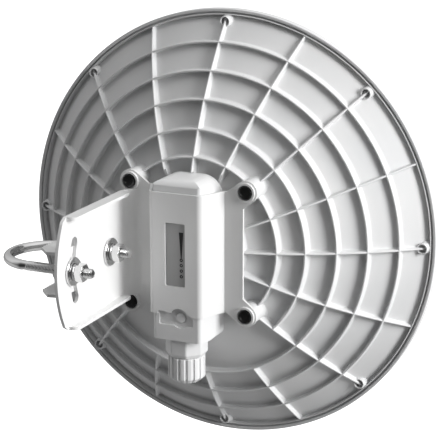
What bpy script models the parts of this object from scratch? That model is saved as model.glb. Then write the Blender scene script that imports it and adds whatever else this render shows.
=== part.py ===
"""Outdoor wireless bridge: a dish antenna with its radio behind the vertex, on a tilting pole bracket.

World frame: metres, +Z up, origin on the pole's axis at the height of the dish's axis.
Dish frame: origin at the rim's centre, +Y along the boresight, +Z up, so the back of the dish faces -Y.
"""

from math import cos, pi, radians, sin, sqrt, tau

import bmesh
import bpy
from mathutils import Euler, Matrix, Vector

# ---------------------------------------------------------------- driving dimensions
GAP = 0.0003

# Dish frame's origin, seen from the pole's axis
DISH_PLACE = Vector((0.0940, 0.1430, 0.0))

# Dish: the back of the shell and the rib tops are two paraboloids about the boresight
RIM_R = 0.1830
SHELL_T = 0.0022
FLOOR_DEPTH = 0.0700
FLOOR_CURVE = 2.369
RIB_DEPTH = 0.0800
RIB_CURVE = 2.525
RIB_T = 0.0018
RING_R = {"b": 0.0921, "c": 0.1142, "d": 0.1355, "e": 0.1567}
RING_A_R = 0.0712
HUB_R = 0.0466
HUB_TOP = 0.0740
HUB_FLAT_R = 0.0361
FEED_HOLE_R = 0.0200
WALL_R = 0.1770
FLANGE_R = 0.1801
FLANGE_BACK = -0.0032
FLANGE_FRONT = -0.0070
SPOKES = 16
BOTTOM_SPOKES = (11, 12, 13)
TURN_STEPS = 48

# Radome screws and their bosses, near the rim
BOSSES = 8
BOSS_CIRCLE_R = 0.1729
BOSS_R = 0.0046
BOSS_TOP = 0.0047
SCREW_HEAD_R = 0.0029
SCREW_SHANK_R = 0.0015
DRAIN_X = 0.0150

# Radome
SKIRT_R = 0.1804
RADOME_T = 0.0020
DOME_START = -0.0105
DOME_APEX = -0.0550
DOME_POWER = 2.5

# Bracket bolts: posts on ring A, ears on the bracket
BOLT_X = 0.0508
POST_R = 0.0085
POST_TOP = 0.0752
EAR_R = 0.0093
BOLT_R = 0.0030
BOLT_HEAD_AF = 0.0100
BOLT_HEAD_H = 0.0036

# Bracket sheet: base plate, raised sleeve and side plate
PLATE_FRONT = -0.0755
PLATE_BACK = -0.0780
EAR_BACK = -0.0802
EAR_SEAT = -0.0772
SLEEVE_BACK = -0.1015
SLEEVE_T = 0.0018
SLEEVE_HALF_H = 0.0500
SLEEVE_BACK_HALF_W = 0.0225
SLEEVE_BASE_HALF_W = 0.0323
FLANGE_EDGE_X = 0.0483
WINDOW_HALF = (0.0087, 0.0260)
SIDE_FACE_X = -0.0520
SIDE_T = 0.0025
SIDE_HALF_H = 0.0445
BEND_R = 0.0120
LIP_W = 0.0100
LIP_T = 0.0024
EDGE_R = 0.0846

# Radio housing
HOUSING_TOP = 0.0600
HOUSING_BOTTOM = -0.0720
HOUSING_HALF_W = 0.0270
HOUSING_BACK_HALF_W = 0.0195
HOUSING_BACK = -0.0993
HOUSING_KNEE = -0.0830
HOUSING_WALL = 0.0024
REAR_SHELL_FRONT = -0.0715
LID_BACK = -0.0699
LID_FRONT = -0.0673
BUTTON_X = 0.0032
BUTTON_Z = -0.0526
BUTTON_R = 0.0041
RECESS_FLOOR = -0.0976
HOUSING_CORNERS = (0.005, 0.005, 0.018, 0.018)
HOUSING_NOSE_R = 0.0090
HOUSING_SCREWS = ((-0.0150, 0.0520), (0.0150, 0.0520), (-0.0205, -0.0645), (0.0205, -0.0645))

LED_X = 0.0047
LED_HEIGHTS = (-0.0070, -0.0120, -0.0170)
BOARD_BACK = -0.0736
BOARD_FRONT = -0.0720

# Cable gland, about a vertical axis below the housing
GLAND_Y = -0.0803
COLLAR_AF = 0.0322
COLLAR_TOP = -0.0723
COLLAR_BOTTOM = -0.0855
COLLAR_TAPER_END = -0.0884
NECK_R = 0.0075
NECK_BORE_R = 0.0061
SPIGOT_R = 0.0118
SPIGOT_BORE_R = 0.0093
SPIGOT_END = -0.1035
NUT_R = 0.0153
NUT_TOP = -0.0888
NUT_FLOOR = -0.1067
NUT_BOTTOM = -0.1108
NUT_FLUTES = 16
CABLE_BORE_R = 0.0034

# Pole clamp
PIVOT_Y = -0.1124
STUD_SPAN = 0.0611
ROD_R = 0.0040
BOW_X = -0.0915
STUD_TIP_X = -0.0343
SLOT_W = 0.0090
SLOT_REACH_DEG = 21.0
CLAMP_HALF_L = 0.0460
CLAMP_HALF_H = 0.0180
CLAMP_T = 0.0025
JAW_X = -0.0760
TOOTH_PITCH = 0.0036
TOOTH_DEPTH = 0.0011
NUT_AF = 0.0130

MID_Y = PIVOT_Y - STUD_SPAN / 2
CLAMP_WEB_X = SIDE_FACE_X - SIDE_T - GAP


# ---------------------------------------------------------------- scene and materials
def clear_scene():
    for old in list(bpy.data.objects):
        bpy.data.objects.remove(old, do_unlink=True)


def new_collection(name, helper=False):
    made = bpy.data.collections.new(name)
    bpy.context.scene.collection.children.link(made)
    made.hide_render = helper
    return made


def new_material(name, colour, roughness, metallic):
    made = bpy.data.materials.new(name)
    made.use_nodes = True
    made.diffuse_color = (*colour, 1.0)
    shader = made.node_tree.nodes["Principled BSDF"]
    shader.inputs["Base Color"].default_value = (*colour, 1.0)
    shader.inputs["Roughness"].default_value = roughness
    shader.inputs["Metallic"].default_value = metallic
    return made


clear_scene()
PARTS = new_collection("outdoor_wireless_bridge")
CUTTERS = new_collection("cutters", helper=True)
RIBS = new_collection("dish_rib_shapes", helper=True)
HOLES = new_collection("dish_hole_shapes", helper=True)

WHITE_PLASTIC = new_material("white_plastic", (0.80, 0.80, 0.79), 0.45, 0.0)
WHITE_PAINT = new_material("white_paint", (0.84, 0.84, 0.83), 0.40, 0.0)
GREY_LABEL = new_material("grey_label", (0.42, 0.42, 0.42), 0.50, 0.0)
CLEAR_PLASTIC = new_material("clear_plastic", (0.85, 0.88, 0.88), 0.15, 0.0)
BLACK_STEEL = new_material("black_steel", (0.02, 0.02, 0.02), 0.35, 0.6)
STAINLESS = new_material("stainless", (0.72, 0.72, 0.72), 0.15, 1.0)
ALUMINIUM = new_material("aluminium", (0.75, 0.75, 0.76), 0.35, 1.0)
BLACK_RUBBER = new_material("black_rubber", (0.03, 0.03, 0.03), 0.80, 0.0)
BOARD_GREEN = new_material("board_green", (0.03, 0.18, 0.07), 0.45, 0.0)
TIN = new_material("tin", (0.62, 0.62, 0.60), 0.30, 1.0)
BLACK_PLASTIC = new_material("black_plastic", (0.04, 0.04, 0.04), 0.50, 0.0)


# ---------------------------------------------------------------- building blocks
def empty(name, place, parent=None):
    made = bpy.data.objects.new(name, None)
    made.empty_display_size = 0.02
    made.location = place
    made.parent = parent
    PARTS.objects.link(made)
    return made


def add(name, mesh, parent, place=(0, 0, 0), turn=(0, 0, 0), collection=None):
    made = bpy.data.objects.new(name, mesh)
    made.location = place
    made.rotation_euler = turn
    made.parent = parent
    (collection or PARTS).objects.link(made)
    if collection is not None:
        made.hide_render = True
        made.display_type = "WIRE"
    return made


def paint(obj, material):
    obj.data.materials.clear()
    obj.data.materials.append(material)
    obj.data.shade_smooth()
    obj.data.set_sharp_from_angle(angle=radians(35))
    return obj


def box_mesh(low, high):
    """A closed box between two opposite corners."""
    low, high = Vector(low), Vector(high)
    bm = bmesh.new()
    size = Matrix.Diagonal((*(high - low), 1.0))
    bmesh.ops.create_cube(bm, size=1.0, matrix=Matrix.Translation((low + high) / 2) @ size)
    mesh = bpy.data.meshes.new("box")
    bm.to_mesh(mesh)
    bm.free()
    return mesh


AXIS_TURN = {"X": Euler((0, pi / 2, 0)), "Y": Euler((-pi / 2, 0, 0)), "Z": Euler((0, 0, 0))}


def rod_mesh(centre, radius, start, end, axis="Z", sides=24, end_radius=None):
    """A cylinder or cone about an axis through centre, from start to end along that axis."""
    bm = bmesh.new()
    along = AXIS_TURN[axis].to_matrix().to_4x4()
    middle = Matrix.Translation(Vector(centre)) @ along @ Matrix.Translation((0, 0, (start + end) / 2))
    bmesh.ops.create_cone(
        bm,
        cap_ends=True,
        segments=sides,
        radius1=radius,
        radius2=radius if end_radius is None else end_radius,
        depth=end - start,
        matrix=middle,
    )
    mesh = bpy.data.meshes.new("rod")
    bm.to_mesh(mesh)
    bm.free()
    return mesh


PLANE_TURN = {
    "XY": Matrix.Identity(4),
    "XZ": Matrix(((1, 0, 0, 0), (0, 0, -1, 0), (0, 1, 0, 0), (0, 0, 0, 1))),
    "YZ": Matrix(((0, 0, 1, 0), (1, 0, 0, 0), (0, 1, 0, 0), (0, 0, 0, 1))),
}


def plate_mesh(outlines, low, high, plane="XY", turn=None):
    """Flat outlines extruded between two levels; an outline inside another is a hole."""
    curve = bpy.data.curves.new("outline", "CURVE")
    curve.dimensions = "2D"
    curve.fill_mode = "BOTH"
    curve.extrude = (high - low) / 2
    for outline in outlines:
        spline = curve.splines.new("POLY")
        spline.points.add(len(outline) - 1)
        for point, (u, v) in zip(spline.points, outline):
            point.co = (u, v, 0, 1)
        spline.use_cyclic_u = True
    holder = bpy.data.objects.new("outline", curve)
    CUTTERS.objects.link(holder)
    graph = bpy.context.evaluated_depsgraph_get()
    mesh = bpy.data.meshes.new_from_object(holder.evaluated_get(graph))
    bpy.data.objects.remove(holder)
    level = (low + high) / 2
    offset = {"XY": (0, 0, level), "XZ": (0, level, 0), "YZ": (level, 0, 0)}[plane]
    mesh.transform(Matrix.Translation(offset) @ PLANE_TURN[plane])
    if turn is not None:
        mesh.transform(turn)
    bm = bmesh.new()
    bm.from_mesh(mesh)
    bmesh.ops.remove_doubles(bm, verts=bm.verts, dist=1e-6)
    bmesh.ops.recalc_face_normals(bm, faces=bm.faces)
    bm.to_mesh(mesh)
    bm.free()
    return mesh


def turned(name, profile, parent, place=(0, 0, 0), turn=(0, 0, 0), steps=24, collection=None):
    """A closed profile of (radius, height) points turned about Z; its outer side runs downwards."""
    mesh = bpy.data.meshes.new(name)
    count = len(profile)
    area = sum(r * w - q * z for (r, z), (q, w) in zip(profile, profile[1:] + profile[:1]))
    if area > 0:
        profile = profile[::-1]
    touches = profile[0][0] == 0 and profile[-1][0] == 0
    last = count - 1 if touches else count
    edges = [(i, (i + 1) % count) for i in range(last)]
    mesh.from_pydata([(r, 0, z) for r, z in profile], edges, [])
    made = add(name, mesh, parent, place, turn, collection)
    screw = made.modifiers.new("turn", "SCREW")
    screw.steps = steps
    screw.render_steps = steps
    screw.use_merge_vertices = True
    screw.merge_threshold = 0.00001
    return made


def boolean(target, operation, other):
    """Cuts, joins or intersects with another object, or with every object of a collection."""
    made = target.modifiers.new(operation.lower(), "BOOLEAN")
    made.operation = operation
    made.solver = "EXACT"
    if isinstance(other, bpy.types.Collection):
        made.operand_type = "COLLECTION"
        made.collection = other
    else:
        made.object = other


def cut(target, mesh, place=(0, 0, 0), turn=(0, 0, 0)):
    cutter = add(target.name + ".cut", mesh, target.parent, place, turn, CUTTERS)
    boolean(target, "DIFFERENCE", cutter)
    return cutter


def join(target, mesh, place=(0, 0, 0), turn=(0, 0, 0)):
    shape = add(target.name + ".join", mesh, target.parent, place, turn, CUTTERS)
    boolean(target, "UNION", shape)
    return shape


def arc(centre, radius, start, end, count):
    """Points on an arc, both ends included; angles in degrees."""
    steps = [radians(start + (end - start) * i / (count - 1)) for i in range(count)]
    return [(centre[0] + radius * cos(a), centre[1] + radius * sin(a)) for a in steps]


def rounded_rectangle(low, high, radii, count=5):
    """Corner radii in the order low-left, low-right, high-right, high-left."""
    corners = [
        (low[0], low[1], 1, 1),
        (high[0], low[1], -1, 1),
        (high[0], high[1], -1, -1),
        (low[0], high[1], 1, -1),
    ]
    points = []
    for index, ((x, y, dx, dy), radius) in enumerate(zip(corners, radii)):
        start = 180 + 90 * index
        points += arc((x + dx * radius, y + dy * radius), radius, start, start + 90, count)
    return points


# ---------------------------------------------------------------- reference frames
# The bracket tilts about the upper stud of the U-bolt, so its parent sits on that stud's axis.
TILT_AXIS = empty("tilt_axis", DISH_PLACE + Vector((SIDE_FACE_X, PIVOT_Y, 0)))
DISH = empty("dish_frame", (-SIDE_FACE_X, -PIVOT_Y, 0), TILT_AXIS)
GLAND = empty("gland_axis", (0, GLAND_Y, 0), DISH)
CLAMP = empty("clamp_frame", DISH_PLACE)

BACKWARD = (pi / 2, 0, 0)


def floor_height(r):
    """Height of the shell's back surface behind the rim plane at radius r."""
    return FLOOR_DEPTH - FLOOR_CURVE * r * r


def rib_height(r):
    return RIB_DEPTH - RIB_CURVE * r * r


# ---------------------------------------------------------------- dish
def ring_points(radius, base):
    """The inner wall, top and outer wall of a ring rib, from the outside in."""
    outer, inner = radius + RIB_T, radius
    return [
        (outer, base(outer)),
        (outer, rib_height(outer)),
        (inner, rib_height(inner)),
        (inner, base(inner)),
    ]


def dish_shell_profile():
    back = [(FEED_HOLE_R, floor_height(HUB_FLAT_R)), (HUB_FLAT_R, floor_height(HUB_FLAT_R))]
    hub_inner = HUB_R - RIB_T
    back += [(hub_inner, floor_height(hub_inner)), (hub_inner, HUB_TOP)]
    back += [(HUB_R, HUB_TOP), (HUB_R, floor_height(HUB_R))]
    back += [(0.058, floor_height(0.058)), (0.081, floor_height(0.081))]
    for name in ("b", "c", "d", "e"):
        radius = RING_R[name]
        if name == "b":
            back.append((radius + RIB_T / 2, floor_height(radius + RIB_T / 2)))
            continue
        back += list(reversed(ring_points(radius, floor_height)))
    back += [(WALL_R, floor_height(WALL_R)), (WALL_R, 0.0), (WALL_R + RIB_T, 0.0)]
    back += [(WALL_R + RIB_T, FLANGE_BACK), (FLANGE_R, FLANGE_BACK), (FLANGE_R, FLANGE_FRONT)]
    radii = [0.1750, 0.1690, 0.1480, 0.1250, 0.1000, 0.0770, 0.0550, HUB_FLAT_R]
    front = [(radii[0], FLANGE_FRONT)] + [(r, floor_height(r) - SHELL_T) for r in radii]
    front.append((FEED_HOLE_R, floor_height(HUB_FLAT_R) - SHELL_T))
    return back + front


def spoke_outline(inner, outer):
    """A radial rib, sunk a little into the shell, in (radius, height)."""
    count = 6
    radii = [inner + (outer - inner) * i / count for i in range(count + 1)]
    sunk = SHELL_T * 0.5
    return [(r, floor_height(r) - sunk) for r in radii] + [(r, rib_height(r)) for r in reversed(radii)]


def partial_ring(radius, start, end, steps):
    """A ring rib over part of a turn, as a closed solid."""
    bm = bmesh.new()
    sunk = SHELL_T * 0.5
    outer = radius + RIB_T
    corners = [
        (radius, floor_height(radius) - sunk),
        (outer, floor_height(outer) - sunk),
        (outer, rib_height(outer)),
        (radius, rib_height(radius)),
    ]
    face = bm.faces.new([bm.verts.new((r, 0, z)) for r, z in corners])
    bmesh.ops.rotate(bm, verts=bm.verts, matrix=Matrix.Rotation(radians(start), 3, "Z"))
    bmesh.ops.spin(
        bm,
        geom=[face, *face.edges, *face.verts],
        axis=(0, 0, 1),
        cent=(0, 0, 0),
        angle=radians(end - start),
        steps=steps,
    )
    bmesh.ops.recalc_face_normals(bm, faces=bm.faces)
    mesh = bpy.data.meshes.new("ring")
    bm.to_mesh(mesh)
    bm.free()
    return mesh


def make_dish():
    """The shell with its ring ribs, then spokes, posts and bosses joined to it."""
    dish = turned("dish_reflector", dish_shell_profile(), DISH, turn=BACKWARD, steps=TURN_STEPS)
    for index in range(SPOKES):
        inner = RING_R["c"] + 0.0005 if index in BOTTOM_SPOKES else HUB_R - 0.0006
        outline = spoke_outline(inner, WALL_R + 0.0006)
        turn = Matrix.Rotation(tau * index / SPOKES, 4, "Z")
        mesh = plate_mesh([outline], -RIB_T / 2, RIB_T / 2, "XZ", turn)
        add(f"spoke_{index}", mesh, DISH, turn=BACKWARD, collection=RIBS)
    for name, radius in (("a", RING_A_R), ("b", RING_R["b"])):
        mesh = partial_ring(radius, -45, 225, TURN_STEPS * 3 // 4)
        add(f"ring_{name}", mesh, DISH, turn=BACKWARD, collection=RIBS)
    for index in range(BOSSES):
        angle = tau * index / BOSSES
        centre = (BOSS_CIRCLE_R * cos(angle), BOSS_CIRCLE_R * sin(angle), 0)
        mesh = rod_mesh(centre, BOSS_R, FLANGE_FRONT + 0.0008, BOSS_TOP, sides=16)
        add(f"boss_{index}", mesh, DISH, turn=BACKWARD, collection=RIBS)
    for x, z in bolt_places():
        mesh = rod_mesh((x, z, 0), POST_R, floor_height(0.0805) - 0.0002, POST_TOP, sides=24)
        add("post", mesh, DISH, turn=BACKWARD, collection=RIBS)
    boolean(dish, "UNION", RIBS)

    for x, z in bolt_places():
        hole = rod_mesh((x, z, 0), BOLT_R + GAP, 0.0600, POST_TOP + 0.01, sides=16)
        add("post_hole", hole, DISH, turn=BACKWARD, collection=HOLES)
    for index in range(BOSSES):
        angle = tau * index / BOSSES
        centre = (BOSS_CIRCLE_R * cos(angle), BOSS_CIRCLE_R * sin(angle), 0)
        shank = rod_mesh(centre, SCREW_SHANK_R + GAP, -0.02, 0.001, sides=12)
        add("screw_hole", shank, DISH, turn=BACKWARD, collection=HOLES)
        head = rod_mesh(centre, SCREW_HEAD_R + 0.0005, 0.0, 0.02, sides=16)
        add("screw_seat", head, DISH, turn=BACKWARD, collection=HOLES)
    # Room for the radio housing, which passes through the inner ribs
    margin = 0.0006
    room = box_mesh(
        (-HOUSING_HALF_W - margin, -0.13, HOUSING_BOTTOM - margin),
        (HOUSING_HALF_W + margin, LID_FRONT + GAP, HOUSING_TOP + margin),
    )
    add("housing_room", room, DISH, collection=HOLES)
    # Two drain slots beside the lowest boss
    for side in (-1, 1):
        x = side * DRAIN_X
        slot = box_mesh((x - 0.0035, -0.002, -0.1758), (x + 0.0035, 0.012, -0.1728))
        add("drain_slot", slot, DISH, collection=HOLES)
    boolean(dish, "DIFFERENCE", HOLES)
    return paint(dish, WHITE_PLASTIC)


def bolt_places():
    return [(sx * BOLT_X, sz * BOLT_X) for sx in (-1, 1) for sz in (1, -1)]


# ---------------------------------------------------------------- radome, gasket and screws
def dome_height(r, radius, apex):
    return apex + (DOME_START - apex) * (r / radius) ** DOME_POWER


def make_radome():
    radii = [0.178, 0.165, 0.145, 0.115, 0.08, 0.045, 0.0]
    outer = [(RIM_R, 0.0), (RIM_R, DOME_START + 0.003)]
    outer += [(r, dome_height(r, RIM_R, DOME_APEX)) for r in radii]
    inner = [(r, dome_height(r, RIM_R, DOME_APEX) + RADOME_T) for r in reversed(radii[1:])]
    ledge = FLANGE_FRONT - GAP
    groove_r, groove_floor = 0.1768, FLANGE_FRONT - 0.0016
    inner += [(0.1680, ledge), (groove_r, ledge), (groove_r, groove_floor)]
    inner += [(SKIRT_R, groove_floor), (SKIRT_R, 0.0)]
    radome = turned("radome", outer + inner, DISH, turn=BACKWARD, steps=TURN_STEPS)
    for index in range(BOSSES):
        angle = tau * index / BOSSES
        centre = (BOSS_CIRCLE_R * cos(angle), BOSS_CIRCLE_R * sin(angle), 0)
        cut(radome, rod_mesh(centre, SCREW_SHANK_R + GAP, -0.0128, 0.02, sides=12), turn=BACKWARD)
    paint(radome, WHITE_PLASTIC)

    low, high = FLANGE_FRONT - 0.0013, FLANGE_FRONT - GAP
    ring = [(0.1797, high), (0.1797, low), (0.1773, low), (0.1773, high)]
    gasket = turned("radome_gasket", ring, DISH, turn=BACKWARD, steps=TURN_STEPS)
    paint(gasket, BLACK_RUBBER)

    head = [(0.0, 0.0022), (0.0021, 0.0022), (SCREW_HEAD_R, 0.0014), (SCREW_HEAD_R, GAP)]
    shank = [(SCREW_SHANK_R, GAP), (SCREW_SHANK_R, -0.0112), (0.0, -0.0122)]
    for index in range(BOSSES):
        angle = tau * index / BOSSES
        place = (BOSS_CIRCLE_R * cos(angle), 0, BOSS_CIRCLE_R * sin(angle))
        screw = turned(f"radome_screw_{index + 1}", head + shank, DISH, place, BACKWARD, steps=12)
        cut(screw, box_mesh((-0.0016, -0.0003, 0.0014), (0.0016, 0.0003, 0.003)), place, BACKWARD)
        paint(screw, STAINLESS)


# ---------------------------------------------------------------- feed
def make_feed():
    """A round waveguide through the vertex, with a plug that carries the sub-reflector."""
    tube = [
        (0.0180, -0.0240),
        (0.0165, -0.0240),
        (0.0165, 0.0717),
        (0.0220, 0.0717),
        (0.0220, 0.0702),
        (0.0180, 0.0702),
    ]
    paint(turned("feed_tube", tube, DISH, turn=BACKWARD, steps=24), ALUMINIUM)
    plug = [(0.0, -0.0080), (0.0161, -0.0080), (0.0161, -0.0243), (0.0260, -0.0360), (0.0, -0.0360)]
    paint(turned("feed_plug", plug, DISH, turn=BACKWARD, steps=24), WHITE_PLASTIC)
    disc = [(0.0, -0.0363), (0.0300, -0.0363), (0.0300, -0.0380), (0.0, -0.0400)]
    paint(turned("sub_reflector", disc, DISH, turn=BACKWARD, steps=24), ALUMINIUM)


# ---------------------------------------------------------------- radio housing
def housing_section(inset, front):
    """Half-round-nosed section seen from above: a flat back, slanted shoulders and parallel sides."""
    wide, narrow = HOUSING_HALF_W - inset, HOUSING_BACK_HALF_W - inset * 0.65
    back = HOUSING_BACK + inset
    return [
        (-wide, front),
        (-wide, HOUSING_KNEE),
        (-narrow - 0.0012, back + 0.0022),
        (-narrow + 0.0012, back),
        (narrow - 0.0012, back),
        (narrow + 0.0012, back + 0.0022),
        (wide, HOUSING_KNEE),
        (wide, front),
    ]


def housing_outline(inset):
    """The housing seen from behind; its upper corners are rounder than the lower ones."""
    low = (-HOUSING_HALF_W + inset, HOUSING_BOTTOM + inset)
    high = (HOUSING_HALF_W - inset, HOUSING_TOP - inset)
    return rounded_rectangle(low, high, [r - inset for r in HOUSING_CORNERS], 8)


def housing_profile():
    """The housing seen along X: its upper rear edge is well rounded."""
    back, top = HOUSING_BACK - 0.001, HOUSING_TOP
    centre = (HOUSING_BACK + HOUSING_NOSE_R, top - HOUSING_NOSE_R)
    nose = arc(centre, HOUSING_NOSE_R, 180, 90, 7)
    return [(-0.05, -0.08), (back, -0.08), (back, centre[1] - 0.002), *nose, (-0.05, top)]


def reset_recess_outlines():
    return [(-0.0155, -0.0593), (0.0145, -0.0593), (0.0145, -0.0440), (-0.0155, -0.0440)]


def make_housing():
    body = plate_mesh([housing_section(0, REAR_SHELL_FRONT)], HOUSING_BOTTOM, HOUSING_TOP, "XY")
    rear = add("housing_rear", body, DISH)
    outline = plate_mesh([housing_outline(0)], -0.12, -0.05, "XZ")
    around = add("housing_rear.outline", outline, DISH, collection=CUTTERS)
    boolean(rear, "INTERSECT", around)
    side_view = plate_mesh([housing_profile()], -0.04, 0.04, "YZ")
    profile = add("housing_rear.profile", side_view, DISH, collection=CUTTERS)
    boolean(rear, "INTERSECT", profile)
    inner = HOUSING_WALL
    cut(rear, plate_mesh([housing_section(inner, -0.06)], HOUSING_BOTTOM + inner, HOUSING_TOP - 0.0160, "XY"))
    cut(rear, box_mesh((-0.0110, -0.0900, 0.04), (0.0110, -0.06, HOUSING_TOP - inner)))
    # The wall behind the reset recess is thicker, and has a pocket and a hole for the button
    pad_back, pad_front = HOUSING_BACK + inner - 0.0005, -0.0946
    join(rear, box_mesh((-0.0170, pad_back, -0.0640), (0.0160, pad_front, -0.0425)))
    for x, z in HOUSING_SCREWS:
        join(rear, rod_mesh((x, 0, z), 0.0030, -0.0960 + 0.0060, REAR_SHELL_FRONT - 0.0013, "Y", sides=12))
    cut(rear, plate_mesh([reset_recess_outlines()], -0.11, RECESS_FLOOR, "XZ"))
    cut(rear, rod_mesh((BUTTON_X, 0, BUTTON_Z), 0.0087, -0.11, RECESS_FLOOR, "Y", sides=32))
    cut(rear, rod_mesh((BUTTON_X, 0, BUTTON_Z), BUTTON_R + 0.0004, -0.11, -0.0965, "Y"))
    cut(rear, rod_mesh((BUTTON_X, 0, BUTTON_Z), 0.0022, -0.11, -0.09, "Y", sides=16))
    cut(rear, rod_mesh((0, GLAND_Y, 0), NECK_R + GAP, -0.08, -0.06))
    for z in LED_HEIGHTS:
        cut(rear, rod_mesh((LED_X, 0, z), 0.0014, -0.11, -0.09, "Y", sides=12))
    for x, z in HOUSING_SCREWS:
        cut(rear, rod_mesh((x, 0, z), 0.0017, -0.0830, -0.06, "Y", sides=12))
    paint(rear, WHITE_PLASTIC)

    lid = add("housing_front", plate_mesh([housing_outline(0)], LID_BACK, LID_FRONT, "XZ"), DISH)
    lip_low = (-0.0242, HOUSING_BOTTOM + 0.0028)
    lip_high = (0.0242, HOUSING_TOP - 0.0164)
    lip_in_low, lip_in_high = (-0.0226, HOUSING_BOTTOM + 0.0044), (0.0226, HOUSING_TOP - 0.0180)
    lip = [
        rounded_rectangle(lip_low, lip_high, (0.002, 0.002, 0.002, 0.002)),
        rounded_rectangle(lip_in_low, lip_in_high, (0.001, 0.001, 0.001, 0.001)),
    ]
    join(lid, plate_mesh(lip, -0.0720, LID_BACK + 0.0004, "XZ"))
    cut(lid, rod_mesh((0, 0, 0), 0.0184, -0.08, -0.06, "Y", sides=24))
    for x, z in HOUSING_SCREWS:
        cut(lid, rod_mesh((x, 0, z), 0.0017, -0.08, -0.06, "Y", sides=12))
        cut(lid, rod_mesh((x, 0, z), 0.0031, -0.0687, -0.06, "Y", sides=12))
    paint(lid, WHITE_PLASTIC)

    seal_in, seal_out = housing_outline(0.0021), housing_outline(0.0004)
    seal_mesh = plate_mesh([seal_out, seal_in], REAR_SHELL_FRONT + GAP, LID_BACK - GAP, "XZ")
    seal = add("housing_seal", seal_mesh, DISH)
    paint(seal, BLACK_RUBBER)

    head = [(0.0, 0.0), (0.0026, 0.0), (0.0026, -0.0011)]
    shank = [(0.0014, -0.0011), (0.0014, -0.0145), (0.0, -0.0150)]
    forward = (-pi / 2, 0, 0)
    for index, (x, z) in enumerate(HOUSING_SCREWS):
        place = (x, LID_FRONT - GAP, z)
        screw = turned(f"housing_screw_{index + 1}", head + shank, DISH, place, forward, steps=12)
        paint(screw, STAINLESS)


# ---------------------------------------------------------------- electronics
def make_electronics():
    board_mesh = box_mesh((-0.0220, BOARD_BACK, -0.0420), (0.0220, BOARD_FRONT, 0.0415))
    board = add("circuit_board", board_mesh, DISH)
    paint(board, BOARD_GREEN)

    can = add("shield_can", box_mesh((-0.0150, -0.0790, 0.0050), (0.0150, BOARD_BACK - GAP, 0.0400)), DISH)
    cut(can, box_mesh((-0.0144, -0.0784, 0.0056), (0.0144, -0.0600, 0.0394)))
    paint(can, TIN)

    jack_low, jack_high = (-0.0080, -0.0882, -0.0420), (0.0080, BOARD_BACK - GAP, -0.0210)
    jack = add("ethernet_jack", box_mesh(jack_low, jack_high), DISH)
    cut(jack, box_mesh((-0.0059, GLAND_Y - 0.0036, -0.05), (0.0059, GLAND_Y + 0.0036, -0.0280)))
    cut(jack, box_mesh((-0.0030, GLAND_Y + 0.0030, -0.05), (0.0030, GLAND_Y + 0.0055, -0.0300)))
    paint(jack, TIN)

    bar = box_mesh((LED_X - 0.0015, -0.0840, -0.0195), (LED_X + 0.0015, -0.0820, -0.0045))
    guide = add("light_guide", bar, DISH)
    for z in LED_HEIGHTS:
        join(guide, rod_mesh((LED_X, 0, z), 0.0011, -0.0990, -0.0770, "Y", sides=12))
    paint(guide, CLEAR_PLASTIC)

    half_w, half_h = WINDOW_HALF[0] - 0.0004, WINDOW_HALF[1] - 0.0004
    label = add("signal_label", box_mesh((-half_w, -0.1000, -half_h), (half_w, -0.0996, half_h)), DISH)
    paint(label, GREY_LABEL)

    switch_place = (BUTTON_X, 0, BUTTON_Z)
    switch = add("reset_switch", rod_mesh(switch_place, 0.0016, -0.0921, -0.0910, "Y", sides=12), DISH)
    low = (BUTTON_X - 0.003, -0.0912, BUTTON_Z - 0.003)
    join(switch, box_mesh(low, (BUTTON_X + 0.003, -0.0890, BUTTON_Z + 0.003)))
    paint(switch, BLACK_PLASTIC)
    low = (BUTTON_X - 0.0075, -0.0887, BUTTON_Z - 0.0060)
    small = add("button_board", box_mesh(low, (BUTTON_X + 0.0075, -0.0877, BUTTON_Z + 0.0060)), DISH)
    paint(small, BOARD_GREEN)

    # The button presses forward, towards +Y; its origin is on its own axis
    cap = [(0.0, 0.0053), (0.0033, 0.0053), (BUTTON_R, 0.0045), (BUTTON_R, 0.0041)]
    stem = [(0.0018, 0.0041), (0.0018, -0.0003), (0.0, -0.0003)]
    place = (BUTTON_X, -0.0937, BUTTON_Z)
    button = turned("reset_button", cap + stem, DISH, place, BACKWARD, steps=24)
    paint(button, WHITE_PLASTIC)


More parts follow.
